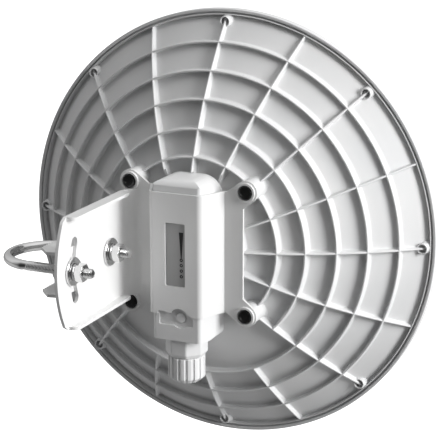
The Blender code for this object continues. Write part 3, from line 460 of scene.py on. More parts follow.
def piece(name, bm, material, body, nodes=(), place=(0, 0, 0), smooth=38):
    """Turns a shape into an object that rides on a CAD body and stands for CAD nodes."""
    mesh = bpy.data.meshes.new(name)
    bm.to_mesh(mesh)
    bm.free()
    mesh.transform(Matrix.Scale(MM, 4))
    mesh.shade_smooth()
    mesh.set_sharp_from_angle(angle=radians(smooth))
    mesh.materials.append(material)
    made = bpy.data.objects.new(name, mesh)
    made.location = DISH_PLACE + Vector(place) * MM
    LOOKS.objects.link(made)
    weighted = made.modifiers.new("normals", "WEIGHTED_NORMAL")
    weighted.keep_sharp = True
    weighted.weight = 80
    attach(made, body)
    if nodes:
        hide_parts(*nodes)
    return made


# ---------------------------------------------------------------- dish
def floor_height(r):
    return FLOOR_DEPTH - FLOOR_CURVE * r * r


def rib_height(r):
    return RIB_DEPTH - RIB_CURVE * r * r


def rib_round(inner, outer, height):
    """A rib's rounded top, from its outer corner over to its inner corner."""
    return arc(((inner + outer) / 2, height - (outer - inner) / 2), (outer - inner) / 2, 0, 180, 9)


def ring_profile(radius):
    """One ring rib with small fillets at its foot, from the outside in."""
    outer = radius + RIB_T
    fillet = [(RIB_FILLET, 0.0), (RIB_FILLET * 0.35, RIB_FILLET * 0.3), (0.0, RIB_FILLET)]
    foot_out = floor_height(outer + RIB_FILLET)
    foot_in = floor_height(radius - RIB_FILLET)
    points = [(outer + side, foot_out + up) for side, up in fillet]
    points += rib_round(radius, outer, rib_height(radius + RIB_T / 2))
    points += [(radius - side, foot_in + up) for side, up in fillet[::-1]]
    return points


def floor_run(start, end, count=6):
    """Points along the floor, both ends left out."""
    radii = [start + (end - start) * i / count for i in range(1, count)]
    return [(r, floor_height(r)) for r in radii]


def shell_profile():
    """The shell from the feed's hole out to the rim on the back, then in again along the front."""
    flat, flat_end = floor_height(HUB_FLAT_R), HUB_FLAT_R - 1.5
    hub_in = HUB_R - RIB_T
    back = [(FEED_HOLE_R, flat), (flat_end, flat), *floor_run(flat_end, hub_in, 4)]
    back += [(hub_in, floor_height(hub_in)), *rib_round(hub_in, HUB_R, HUB_TOP)[::-1]]
    back.append((HUB_R, floor_height(HUB_R)))
    last, count = HUB_R, 10
    for radius in RING_RS:
        ring = ring_profile(radius)[::-1]
        back += floor_run(last, ring[0][0], count) + ring
        last, count = ring[-1][0], 6
    wall_foot, wall_out = floor_height(WALL_R), WALL_R + RIB_T
    back += floor_run(last, WALL_R - WALL_FOOT, 5)
    back += [(WALL_R - WALL_FOOT, wall_foot), (WALL_R, wall_foot - WALL_FOOT)]
    back += arc((wall_out - WALL_ROUND, -WALL_ROUND), WALL_ROUND, 90, 0, 5)
    back += [(wall_out, FLANGE_BACK), (FLANGE_R, FLANGE_BACK), (FLANGE_R, FLANGE_FRONT)]
    front = [(175.0, FLANGE_FRONT)]
    count = 24
    radii = [BOWL_R - (BOWL_R - FEED_HOLE_R) * i / count for i in range(count + 1)]
    front += [(r, floor_height(max(r, HUB_FLAT_R)) - SHELL_T) for r in radii]
    return back + front


def spoke_shape(index, inner, outer):
    """A radial rib with a rounded top, fillets along its foot and the foot sunk into the shell."""
    rows = []
    count = 26
    half = RIB_T / 2
    for step in range(count + 1):
        r = inner + (outer - inner) * step / count
        ground = floor_height(r)
        side = [(half + 0.9, ground - FOOT_SINK), (half + 0.9, ground)]
        side += [(half + 0.3, ground + 0.3), (half + 0.1, ground + 1.0)]
        section = [(-across, height) for across, height in side]
        section += arc((0, rib_height(r) - half * 0.9), half * 0.9, 180, 0, 7)
        section += side[::-1]
        rows.append([(r, across, height) for across, height in section])
    made = grid(rows, cap=True)
    made.transform(Matrix.Rotation(tau * index / SPOKES, 4, "Z"))
    return made


def open_ring(radius, steps=216):
    """A ring rib over the upper part of a turn, with its foot sunk into the shell."""
    rows = []
    profile = ring_profile(radius)
    outside, inside = [(r, z - FOOT_SINK) for r, z in (profile[0], profile[-1])]
    profile = [outside, *profile, inside]
    for step in range(steps + 1):
        angle = radians(OPEN_RING_START + (OPEN_RING_END - OPEN_RING_START) * step / steps)
        rows.append([(r * cos(angle), r * sin(angle), z) for r, z in profile])
    return grid(rows, cap=True)


def bolt_places():
    return [(sx * BOLT_X, sz * BOLT_X) for sx in (-1, 1) for sz in (1, -1)]


def post_shape(x, z):
    """A hollow post with a flared foot, which takes one bracket bolt."""
    base = floor_height(hypot(BOLT_X, BOLT_X) + POST_R) - 0.5
    profile = [(POST_R + 2.0, base), (POST_R + 0.7, base + 1.2), (POST_R + 0.2, base + 3.0)]
    profile.append((POST_R, POST_TOP - 0.7))
    profile += [(POST_R - 0.7, POST_TOP), (3.6, POST_TOP), (3.3, POST_TOP - 0.3), (3.3, POST_FLOOR)]
    profile.append((0, POST_FLOOR))
    return placed(lathe([(0, base), *profile][::-1], 64, closed=False), (x, z, 0))


def boss_shape(index):
    """A screw boss at the rim, with a counterbore for the screw's head."""
    angle = tau * index / BOSSES
    profile = [(BOSS_R + 0.9, -1.0), (BOSS_R + 0.25, 0.2), (BOSS_R, 1.4), (BOSS_R, BOSS_TOP - 0.6)]
    profile += [(BOSS_R - 0.5, BOSS_TOP), (3.7, BOSS_TOP), (3.4, BOSS_TOP - 0.3), (3.4, 0.0), (1.8, 0.0)]
    profile += [(1.8, FLANGE_FRONT), (BOSS_R + 0.9, FLANGE_FRONT)]
    return placed(lathe(profile, 40), (BOSS_CIRCLE_R * cos(angle), BOSS_CIRCLE_R * sin(angle), 0))


def touches_box(face, low, high, margin=0.01):
    spans = [[vertex.co[k] for vertex in face.verts] for k in range(3)]
    return all(max(span) > low[k] - margin and min(span) < high[k] + margin for k, span in enumerate(spans))


def opened(shape, low, high):
    """Removes what lies in a box from a shape made of several bodies, by cutting along the box's planes."""
    for axis in range(3):
        for level in (low[axis], high[axis]):
            normal, place = Vector(), Vector()
            normal[axis], place[axis] = 1, level
            near = [face for face in shape.faces if touches_box(face, low, high)]
            geometry = dict.fromkeys(near)
            for face in near:
                geometry.update(dict.fromkeys([*face.edges, *face.verts]))
            bmesh.ops.bisect_plane(shape, geom=list(geometry), plane_co=place, plane_no=normal, dist=1e-4)
    doomed = []
    for face in shape.faces:
        middle = face.calc_center_median()
        if all(low[k] < middle[k] < high[k] for k in range(3)):
            doomed.append(face)
    bmesh.ops.delete(shape, geom=doomed, context="FACES")
    rims = [edge for edge in shape.edges if edge.is_boundary]
    bmesh.ops.holes_fill(shape, edges=rims, sides=0)
    return shape


def make_dish():
    """The shell, its ribs, posts and bosses as closed bodies in one mesh, with a room for the housing."""
    shapes = [lathe(shell_profile(), TURN_STEPS)]
    for index in range(SPOKES):
        inner = RING_RS[0] + 0.6 if index in BOTTOM_SPOKES else HUB_R - 0.6
        shapes.append(spoke_shape(index, inner, WALL_R + 0.6))
    shapes += [open_ring(radius) for radius in OPEN_RING_RS]
    shapes += [post_shape(x, z) for x, z in bolt_places()]
    shapes += [boss_shape(index) for index in range(BOSSES)]
    dish = placed(merged(*shapes), axis="-Y")
    room_low = (HOUSING_LOW.x - ROOM_MARGIN, -130, HOUSING_LOW.z - ROOM_MARGIN)
    room_high = (HOUSING_HIGH.x + ROOM_MARGIN, ROOM_FRONT_Y, HOUSING_HIGH.z + ROOM_MARGIN)
    dish = opened(dish, room_low, room_high)
    piece("dish_with_ribs", dish, DISH_PLASTIC, "antenna", ["dish_reflector"], smooth=42)


# ---------------------------------------------------------------- radome and its fasteners
def dome_height(r):
    return DOME_APEX + (DOME_START - DOME_APEX) * (r / RIM_R) ** DOME_POWER


def make_radome():
    """A shallow dome whose skirt laps over the dish's flange and rounds over at its back edge."""
    count, lip = 44, 0.9
    radii = [RIM_R * sqrt(1 - i / count) for i in range(1, count + 1)]
    outer = [(RIM_R - 1.6, 0.0), *arc((RIM_R - lip, -lip), lip, 90, 0, 5), (RIM_R, SKIRT_END)]
    outer += [(r, dome_height(r)) for r in radii]
    inner = [(r, dome_height(r) + RADOME_T) for r in (0, 30, 60, 90, 115, 135, 150, 160, 165)]
    inner += [(168.0, -7.3), (176.8, -7.3), (176.8, -8.6), (RIM_R - 2.6, -8.6)]
    inner += [(RIM_R - 2.6, -0.6), (RIM_R - 2.0, 0.0)]
    shape = placed(lathe(outer + inner, TURN_STEPS), axis="-Y")
    piece("radome_shell", shape, DISH_PLASTIC, "antenna", ["radome"], smooth=30)


def make_rim_screws():
    """Pan-head screws with a cross recess, one in each boss."""
    for index in range(BOSSES):
        angle = tau * index / BOSSES
        place = (BOSS_CIRCLE_R * cos(angle), 0, BOSS_CIRCLE_R * sin(angle))
        profile = [(0, 2.2), (1.6, 2.2), (2.5, 1.8), (2.9, 1.0), (2.9, 0.3)]
        profile += [(1.5, 0.3), (1.5, -11.4), (0, -12.2)]
        cross = merged(block((-1.5, -0.35, 1.2), (1.5, 0.35, 3)), block((-0.35, -1.5, 1.2), (0.35, 1.5, 3)))
        screw = combined(lathe(profile, 32, closed=False), ("DIFFERENCE", cross))
        shape = placed(screw, axis="-Y")
        node = f"radome_screw_{index + 1}"
        piece(f"rim_screw_{index + 1}", shape, WASHER_STEEL, "antenna", [node], place)


# ---------------------------------------------------------------- radio housing
def rectangle(left, right, low, high):
    return [(left, low), (right, low), (right, high), (left, high)]


def housing_section():
    """The housing seen from above: flat back, slanted shoulders, parallel sides."""
    wide, knee = HOUSING_HIGH.x, HOUSING_KNEE_Y
    left = [(-wide, SEAM_Y), (-wide, knee), (-HOUSING_BACK_HALF_W, HOUSING_LOW.y)]
    right = [(-x, y) for x, y in left[::-1]]
    return filleted(left + right, [0, 4, 3.4, 3.4, 4, 0])


def housing_outline(inset=0.0):
    """The housing seen from behind, with well rounded upper corners."""
    low, high = HOUSING_LOW, HOUSING_HIGH
    corners = rectangle(low.x + inset, high.x - inset, low.z + inset, high.z - inset)
    radii = [HOUSING_LOW_CORNER - inset] * 2 + [HOUSING_TOP_CORNER - inset] * 2
    return filleted(corners, radii, 18)


def housing_profile():
    """The housing seen along X: its upper rear edge is well rounded."""
    back, top = HOUSING_LOW.y - 1, HOUSING_HIGH.z
    return filleted([(-60, -90), (back, -90), (back, top), (-60, top)], [0, 0, HOUSING_NOSE, 0], 14)


def recess_outline():
    """The reset recess: a low wavy window that bulges round the button."""
    left, right, low, high = -15.4, 14.4, -59.4, -44.0
    under = arc((BUTTON_X, BUTTON_Z), 8.4, 232, 306, 10)
    points = [(left, high), (left, low), *under, (right, low + 0.8), (right, high)]
    return filleted(points, [0, 1.2, 2.5, *[0] * 8, 2.5, 1.2, 0], 5)


def make_housing():
    """The rear shell: hollow, with the reset recess, the gland's hole and a groove for the lid's seal."""
    body = slab([housing_section()], HOUSING_LOW.z, HOUSING_HIGH.z, "XY")
    steps = [
        ("INTERSECT", slab([housing_outline()], -120, -50, "XZ")),
        ("INTERSECT", slab([housing_profile()], -40, 40, "YZ")),
        ("DIFFERENCE", block((-17, -95.5, -69), (17, -60, 48))),
        ("DIFFERENCE", block((-24.2, -82.5, -69), (24.2, -60, 44))),
        ("DIFFERENCE", block((-10, -90, 40), (10, -60, 55.5))),
        ("DIFFERENCE", slab([recess_outline()], -120, -97.4, "XZ")),
        ("DIFFERENCE", rod((0, GLAND_Y, 0), 7.8, -80, -60)),
        ("DIFFERENCE", slab([housing_outline(0.8), housing_outline(1.9)], -71.6, -60, "XZ")),
    ]
    shape = softened(combined(body, *steps), 0.55, 3)
    button_hole = ("DIFFERENCE", rod((BUTTON_X, 0, BUTTON_Z), BUTTON_R + 0.35, -120, -96.5, "Y", 64))
    stem_hole = ("DIFFERENCE", rod((BUTTON_X, 0, BUTTON_Z), 2.2, -120, -90, "Y", 32))
    shape = combined(shape, button_hole, stem_hole)
    piece("radio_housing", shape, WHITE_PLASTIC, "antenna", ["housing_rear"], smooth=32)

    cord = slab([housing_outline(0.95), housing_outline(1.75)], -71.5, -70.0, "XZ")
    piece("lid_seal_cord", cord, RUBBER, "antenna", ["housing_seal"])


def make_lid():
    """The front lid, with holes for the feed and its screws, and a lip that reaches into the shell."""
    lid_front = local_box("housing_front")[1].y
    holes = [("DIFFERENCE", rod((0, 0, 0), 18.4, -80, -60, "Y", 64))]
    for x, z in ((-15.0, 52.0), (15.0, 52.0), (-20.5, -64.5), (20.5, -64.5)):
        holes.append(("DIFFERENCE", rod((x, 0, z), 3.1, -68.7, -60, "Y", 24)))
    lid = combined(slab([housing_outline()], LID_BACK_Y, lid_front, "XZ"), *holes)
    inside = filleted(rectangle(-22.6, 22.6, -67.6, 42.0), [1] * 4, 4)
    outside = filleted(rectangle(-24.2, 24.2, -69.2, 43.6), [2] * 4, 4)
    lip = combined(slab([outside], -72, -69.5, "XZ"), ("DIFFERENCE", slab([inside], -80, -60, "XZ")))
    shape = merged(softened(lid, 0.3), lip)
    piece("housing_lid", shape, WHITE_PLASTIC, "antenna", ["housing_front"])


def make_button():
    """The reset button: a slightly domed cap on a stem."""
    cap = [(0, 5.55), (1.5, 5.5), (2.8, 5.3), (3.7, 4.95), (BUTTON_R, 4.5), (BUTTON_R, 4.15), (1.8, 4.1)]
    stem = [(1.8, -0.2), (1.7, -0.3), (0, -0.3)]
    shape = placed(lathe(cap + stem, 64, closed=False), axis="-Y")
    place = (BUTTON_X, BUTTON_HIGH.y - 0.3, BUTTON_Z)
    piece("reset_cap", shape, WHITE_PLASTIC, "reset_button", ["reset_button"], place)


def make_label():
    """The signal window: a film with a tapered level mark and four small rings below it."""
    low, high = local_box("signal_label")
    film = slab([filleted(rectangle(low.x, high.x, low.z, high.z), [0.8] * 4, 4)], low.y, high.y, "XZ")
    piece("signal_window", film, LABEL, "antenna", ["signal_label"])
    mark_x, mark_low, mark_high = 4.9, -2.6, 18.8
    wedge = [(mark_x - 1.9, mark_high), (mark_x - 0.35, mark_low)]
    wedge += [(mark_x + 0.35, mark_low), (mark_x + 1.9, mark_high)]
    outlines = [[filleted(wedge, [0.25] * 4, 3)]]
    for z in (-3.9, -8.2, -12.7, -17.4):
        outlines.append([circle((mark_x, z), 1.35, 28), circle((mark_x, z), 0.6, 28)])
    marks = [slab(outline, low.y - 0.12, low.y + 0.05, "XZ") for outline in outlines]
    piece("signal_marks", merged(*marks), INK, "antenna")


# ---------------------------------------------------------------- cable gland
def polar_shape(rows, radius_at, steps):
    """A body whose outline at each height is radius_at(angle, row); rows start and end on a bore."""
    made = []
    for row in rows:
        ring = []
        for i in range(steps):
            angle = tau * i / steps
            r = radius_at(angle, row)
            ring.append((r * cos(angle), r * sin(angle), row[1]))
        made.append(ring)
    return grid(made, close_rows=True)


def polygon_radius(angle, sides, half_flat, corner):
    """Radius of a regular polygon with its corners cut to a circle; a flat faces angle 0."""
    step = tau / sides
    offset = (angle + step / 2) % step - step / 2
    return min(half_flat / cos(offset), corner)


def make_gland_body():
    """An octagonal collar over a threaded spigot, with a plain neck up into the housing."""
    half = COLLAR_AF / 2
    top, flat_end, taper_end, thread_end = -72.3, -85.5, -88.4, -102.6

    def collar(angle, row):
        scale, _, polygon = row
        if not polygon:
            return scale
        return polygon_radius(angle, 8, half, half / cos(pi / 8) - 0.25) * scale

    rows = [(6.1, top, False), (half * 0.9, top, False), (0.975, top, True), (1.0, top - 0.5, True)]
    rows += [(1.0, flat_end + 0.3, True), (0.99, flat_end - 0.1, True), (0.885, taper_end, True)]
    rows += [(11.8, taper_end - 0.1, False)]
    z = -89.5
    while z > thread_end:
        rows += [(11.8, z, False), (11.8, z - 0.5, False), (11.1, z - 0.9, False), (11.1, z - 1.1, False)]
        z -= 1.6
    rows += [(11.0, -103.4, False), (9.5, -103.5, False), (9.3, -103.2, False), (9.3, -89.0, False)]
    rows.append((6.1, -88.8, False))
    body = polar_shape(rows, collar, 256)
    neck = lathe([(6.1, -71.0), (6.1, -64.2), (6.2, -64.0), (7.2, -64.0), (7.5, -64.3), (7.5, -71.0)], 64)
    shape = merged(body, neck)
    piece("gland_collar", shape, WHITE_PLASTIC, "antenna", ["gland_body"], GLAND_PLACE, 34)


def fluted_radius(angle, row, flutes=16, groove=1.45):
    """Radius of a round body with half-round grooves; a row is (radius, height, groove depth)."""
    radius, _, depth = row
    step = tau / flutes
    offset = abs((angle + step / 2) % step - step / 2) * NUT_R
    if depth <= 0 or offset >= groove:
        return radius
    return radius - depth * sqrt(max(0.0, 1 - (offset / groove) ** 2))


def make_gland_nut():
    """The domed cap nut: grooved sides, a bore for the cable and a wide bore over the thread."""
    top, bottom = NUT_HIGH.z, NUT_LOW.z
    chamfer, floor_z = bottom + 4.2, bottom + 4.1
    rows = [(12.2, top, 0), (13.6, top, 0), (14.3, top - 0.15, 0.2), (NUT_R - 0.25, top - 0.55, 0.75)]
    rows += [(NUT_R, top - 1.1, 1.1), (NUT_R, chamfer + 0.5, 1.1), (NUT_R - 0.2, chamfer - 0.3, 1.05)]
    rows += [(NUT_R - 1.9, bottom + 2.3, 1.0), (NUT_R - 3.7, bottom + 0.9, 0.7)]
    rows += [(NUT_R - 4.4, bottom + 0.2, 0.1), (NUT_R - 4.9, bottom, 0)]
    rows += [(9.0, bottom, 0), (8.5, bottom + 0.4, 0), (8.4, floor_z, 0), (12.2, floor_z, 0)]
    nut = polar_shape(rows, fluted_radius, 512)
    piece("gland_cap_nut", nut, WHITE_PLASTIC, "gland_nut", ["gland_nut"], GLAND_PLACE, 34)


def make_gland_seal():
    low, high = (corner.z for corner in local_box("gland_seal"))
    profile = [(9.0, high - 0.4), (9.0, low + 1.2), (8.0, low + 0.1), (7.6, low), (4.0, low)]
    profile += [(3.4, low + 0.6), (3.4, high - 0.6), (4.0, high), (8.6, high)]
    piece("gland_bush", lathe(profile, 96), RUBBER, "antenna", ["gland_seal"], GLAND_PLACE)


# ---------------------------------------------------------------- bracket
def flange_outline(side):
    """One half of the base plate, from the sleeve's side out to both ears."""
    inside = 31.0
    points = [(inside, SLEEVE_HALF_H - 1.0), (33.0, SLEEVE_HALF_H - 1.0)]
    points += arc((BOLT_X, BOLT_X), EAR_R, 125, -45, 28)
    points += [(FLANGE_EDGE_X, 37.0), (FLANGE_EDGE_X, -37.0)]
    points += arc((BOLT_X, -BOLT_X), EAR_R, 45, -125, 28)
    points += [(33.0, -SLEEVE_HALF_H + 1.0), (inside, -SLEEVE_HALF_H + 1.0)]
    return [(side * x, z) for x, z in points]


def sleeve_shape():
    base_x, back_x = 31.9, 21.4
    back = SLEEVE_BACK_Y + SLEEVE_T / 2
    path = [(base_x + 3.5, PLATE_MID_Y), (base_x, PLATE_MID_Y), (back_x, back), (-back_x, back)]
    path += [(-base_x, PLATE_MID_Y), (-base_x - 3.5, PLATE_MID_Y)]
    path = filleted(path, [0, 1.6, 4.2, 4.2, 1.6, 0], 8, closed=False)
    return slab([sheet_outline(path, SLEEVE_T)], -SLEEVE_HALF_H, SLEEVE_HALF_H, "XY")


def side_shape():
    """The side plate with its bend into the base plate."""
    middle = SIDE_X - SIDE_T / 2
    path = [(-36.0, PLATE_MID_Y), (middle, PLATE_MID_Y), (middle, -205.0)]
    path = filleted(path, [0, BEND_R + SIDE_T / 2, 0], 14, closed=False)
    sheet = slab([sheet_outline(path, SIDE_T)], -60, 60, "XY")
    half, corner = SIDE_HALF_H, 3.0
    reach = sqrt(EDGE_R * EDGE_R - half * half)
    count = 30
    heights = [(half - corner) * (1 - 2 * i / count) for i in range(count + 1)]
    edge = [(PIVOT_Y - sqrt(EDGE_R * EDGE_R - z * z), z) for z in heights]
    turn_y = PIVOT_Y - reach + corner
    outline = [(-70, half), (turn_y, half), *edge, (turn_y, -half), (-70, -half)]
    return combined(sheet, ("INTERSECT", slab([outline], -80, -20, "YZ")))


def lip_shape(low, high):
    """A stiffening lip folded in from the side plate, with rounded free corners."""
    outside = SIDE_X - SIDE_T
    free = outside + LIP_W
    rear, front = PIVOT_Y - 68.5, -90.0
    corners = [(outside + 0.3, rear), (free, rear), (free, front), (outside + 0.3, front)]
    return slab([filleted(corners, [0, 5.5, 2.6, 0], 8)], low, high, "XY")


def slot_outline():
    """The arc slot about the pivot, with round ends."""
    half, reach = SLOT_W / 2, 21.0
    outer = arc((PIVOT_Y, 0), STUD_SPAN + half, 180 - reach, 180 + reach, 28)
    inner = arc((PIVOT_Y, 0), STUD_SPAN - half, 180 + reach, 180 - reach, 28)
    low_end, high_end = arc((PIVOT_Y, 0), STUD_SPAN, 180 + reach, 180 - reach, 2)
    low_turn = arc(low_end, half, 180 + reach, 360 + reach, 13)[1:-1]
    high_turn = arc(high_end, half, -reach, 180 - reach, 13)[1:-1]
    return outer + low_turn + inner + high_turn


def cut_out_outline():
    """The sleeve's lower edge is cut away round the reset recess, in a wave that rises over the button."""
    over = arc((BUTTON_X, BUTTON_Z), 8.6, 150, 30, 14)
    points = [(-15.5, -60.0), (-15.5, -47.2), (BUTTON_X - 9.5, -47.8), *over]
    points += [(13.2, -49.2), (15.0, -51.5), (15.0, -60.0)]
    radii = [0, 1.6, 2.5, *[0] * len(over), 1.5, 1.0, 0]
    return filleted(points, radii, 5)


def make_bracket():
    """The pressed sheet: two flanges, the raised sleeve, the side plate with its lips, and all its holes."""
    plate_low, plate_high = PLATE_MID_Y - PLATE_T / 2, PLATE_MID_Y + PLATE_T / 2
    half = SIDE_HALF_H
    steps = [
        ("UNION", slab([flange_outline(1)], plate_low, plate_high, "XZ")),
        ("UNION", slab([flange_outline(-1)], plate_low, plate_high, "XZ")),
        ("UNION", side_shape()),
        ("UNION", lip_shape(half - LIP_T, half)),
        ("UNION", lip_shape(-half, -half + LIP_T)),
    ]
    for x, z in bolt_places():
        steps.append(("UNION", rod((x, 0, z), 7.8, -80.2, plate_high - 0.4, "Y")))
    for x, z in bolt_places():
        steps.append(("DIFFERENCE", rod((x, 0, z), 6.15, -100, -77.2, "Y")))
        steps.append(("DIFFERENCE", rod((x, 0, z), 3.3, -100, -70, "Y", 32)))
    window = rectangle(-WINDOW_HALF_W, WINDOW_HALF_W, -WINDOW_HALF_H, WINDOW_HALF_H)
    steps += [
        ("DIFFERENCE", slab([filleted(window, [1.0] * 4, 5)], -120, -90, "XZ")),
        ("DIFFERENCE", slab([cut_out_outline()], -120, -90, "XZ")),
        ("DIFFERENCE", rod((0, PIVOT_Y, 0), SLOT_W / 2, -70, -40, "X")),
        ("DIFFERENCE", slab([slot_outline()], -70, -40, "YZ")),
    ]
    shape = softened(combined(sleeve_shape(), *steps), 0.4, 2, 30)
    piece("mounting_bracket", shape, POWDER_COAT, "antenna", ["bracket"], smooth=34)


def hexagon_shape(flats, low, high, bore, chamfer_low=True, dish=0.0):
    """A hexagon turned about Z whose corners are chamfered by a cone, with a bore or a closed middle."""
    half = flats / 2
    corner = half / cos(pi / 6)
    drop, narrow = (corner - half) * 0.58, half * 0.96
    cone_steps = [(drop * i / 5, narrow + (corner - narrow) * i / 5) for i in range(6)]
    inner = max(bore, 0.001)

    def radius(angle, row):
        scale, _, cone = row
        if cone < 0:
            return scale
        return min(half / cos((angle + pi / 6) % (pi / 3) - pi / 6), cone)

    rows = [(inner, high - dish, -1), (half * 0.62, high - dish, -1), (half * 0.66, high, -1)]
    rows += [(0, high - fall, cone) for fall, cone in cone_steps]
    rows += [(0, low + rise, cone) for rise, cone in cone_steps[::-1]] if chamfer_low else [(0, low, corner)]
    rows.append((inner, low, -1))
    return polar_shape(rows, radius, 144)


def make_bracket_bolts():
    """Hexagon bolts with a dished head, each turned a little differently."""
    for index, (x, z) in enumerate(bolt_places()):
        head = hexagon_shape(10.0, 0.0, 3.6, 0, chamfer_low=False, dish=0.45)
        head.transform(Matrix.Rotation(radians(17 * index), 4, "Z"))
        shank = lathe([(0, 0.3), (3.0, 0.3), (3.0, -15.8), (2.6, -16.4), (0, -16.4)], 32, closed=False)
        shape = placed(merged(head, shank), axis="-Y")
        node = f"bracket_bolt_{index + 1}"
        place = (x, BOLT_SEAT_Y, z)
        piece(f"ear_bolt_{index + 1}", shape, BLACK_OXIDE, "antenna", [node], place, 30)


# ---------------------------------------------------------------- pole clamp
def jaw_outline():
    """One toothed jaw: a shallow V for the pole between two toothed edges."""
    web, tooth_x = CLAMP_HIGH.x, CLAMP_LOW.x
    half, chamfer = 46.0, 10.8
    notch_half, notch_depth, tooth = 15.0, 9.0, 1.1
    tip = half - chamfer
    edge = [(tooth_x, tip), (tooth_x, notch_half), (tooth_x + notch_depth, 0)]
    edge += [(tooth_x, -notch_half), (tooth_x, -tip)]
    toothed = [edge[0]]
    for start, end in zip(edge, edge[1:]):
        start, end = Vector(start), Vector(end)
        run = end - start
        count = max(2, round(run.length / 3.6))
        inward = Vector((-run.y, run.x)).normalized()
        for index in range(count):
            toothed.append(tuple(start + run * ((index + 0.12) / count)))
            toothed.append(tuple(start + run * ((index + 0.56) / count) + inward * tooth))
            toothed.append(tuple(start + run * ((index + 0.90) / count)))
    toothed.append(edge[-1])
    corner = tooth_x + chamfer * 0.95
    points = [(web, half - 2), (corner, half), *toothed, (corner, -half), (web, -half + 2)]
    return [(x, MID_Y + y) for x, y in points]


def make_clamp():
    """A channel of two toothed jaws on a web, with a hole in the web for each stud."""
    half_h = CLAMP_HIGH.z
    web = block((CLAMP_HIGH.x - CLAMP_T, MID_Y - 45, -half_h + 0.4), (CLAMP_HIGH.x, MID_Y + 45, half_h - 0.4))
    jaws = [slab([jaw_outline()], low, low + CLAMP_T, "XY") for low in (half_h - CLAMP_T, -half_h)]
    steps = [("UNION", jaw) for jaw in jaws]
    for y in (PIVOT_Y, PIVOT_Y - STUD_SPAN):
        steps.append(("DIFFERENCE", rod((0, y, 0), SLOT_W / 2, -70, -40, "X")))
    shape = softened(combined(web, *steps), 0.3, 2, 30)
    piece("toothed_clamp", shape, POWDER_COAT, "pole_clamp", ["v_clamp"], smooth=34)


def u_bolt_path(bow_x, tip_x):
    """The rod's middle line from one tip, round the bow, to the other tip, with fine steps on the legs."""
    count, bow = int((tip_x - bow_x) / (THREAD_PITCH / 6)), 72
    leg = [tip_x - (tip_x - bow_x) * i / count for i in range(count + 1)]
    turn = arc((bow_x, -STUD_SPAN / 2), STUD_SPAN / 2, 90, 270, bow)[1:-1]
    points = [(x, 0) for x in leg] + turn + [(x, -STUD_SPAN) for x in leg[::-1]]
    return [Vector((*point, 0)) for point in points]


def make_u_bolt():
    """A bent rod with rolled threads on both legs and chamfered tips."""
    sides = 32
    bow_x, tip_x = ROD_LOW.x + ROD_R + STUD_SPAN / 2, ROD_HIGH.x
    thread_start = bow_x - 5.0
    path = u_bolt_path(bow_x, tip_x)
    up = Vector((0, 0, 1))
    travelled = 0.0
    rows = []
    for index, point in enumerate(path):
        before, after = path[max(index - 1, 0)], path[min(index + 1, len(path) - 1)]
        along = (after - before).normalized()
        across = Vector((-along.y, along.x, 0))
        travelled += (point - before).length
        tip = tip_x - point.x
        ring = []
        for side in range(sides):
            angle = tau * side / sides
            radius = ROD_R
            if point.x > thread_start:
                phase = (travelled / THREAD_PITCH + side / sides) % 1.0
                blend = min(1.0, (point.x - thread_start) / 2.0)
                radius -= THREAD_DEPTH * blend * abs(2 * phase - 1)
            if tip < 1.2:
                radius = min(radius, 2.9 + tip * 0.75)
            ring.append(point + (across * cos(angle) + up * sin(angle)) * radius)
        rows.append(ring)
    shape = grid(rows, cap=True)
    piece("threaded_u_bolt", shape, BRIGHT_STEEL, "u_bolt", ["u_bolt"], (0, PIVOT_Y, 0), 50)


def make_stud_hardware():
    """A plain washer, a split spring washer and a nut on each stud, against the side plate."""
    bore = ROD_R + 0.3
    flat = [(bore, 1.8), (10.7, 1.8), (11.2, 1.35), (11.2, 0.35), (10.9, 0.0), (bore, 0.0)]
    split = [(bore, 3.85), (6.5, 3.85), (6.8, 3.6), (6.8, 2.4), (6.5, 2.15), (bore, 2.15)]
    for number, y in ((1, PIVOT_Y), (2, PIVOT_Y - STUD_SPAN)):
        place = (SIDE_X + 0.3, y, 0)
        shape = placed(lathe(flat, 96), axis="X")
        name, node = f"plain_washer_{number}", f"flat_washer_{number}"
        piece(name, shape, BRIGHT_STEEL, "pole_clamp", [node], place)

        ring = combined(lathe(split, 72), ("DIFFERENCE", block((0, -0.5, 0), (10, 0.5, 6))))
        shape = placed(ring, axis="X")
        name, node = f"lock_washer_{number}", f"spring_washer_{number}"
        piece(name, shape, WASHER_STEEL, "pole_clamp", [node], place)

        shape = placed(hexagon_shape(13.0, 4.2, 10.6, ROD_R + 0.02), axis="X")
        name, node = f"clamp_nut_{number}", f"hex_nut_{number}"
        piece(name, shape, BRIGHT_STEEL, f"nut_{number}", [node], place, 30)


# ---------------------------------------------------------------- carried-over CAD nodes
def paint_cad():
    finish = {
        "radome_gasket": RUBBER,
        "feed_tube": ALUMINIUM,
        "feed_plug": WHITE_PLASTIC,
        "sub_reflector": ALUMINIUM,
        "circuit_board": BOARD,
        "button_board": BOARD,
        "shield_can": TIN,
        "ethernet_jack": TIN,
        "light_guide": CLEAR,
        "reset_switch": BLACK_PLASTIC,
        "gland_oring": RUBBER,
        "gland_ring": BLACK_PLASTIC,
    }
    for index in range(4):
        finish[f"housing_screw_{index + 1}"] = WASHER_STEEL
    for name, material in finish.items():
        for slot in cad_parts[name].material_slots:
            slot.material = material


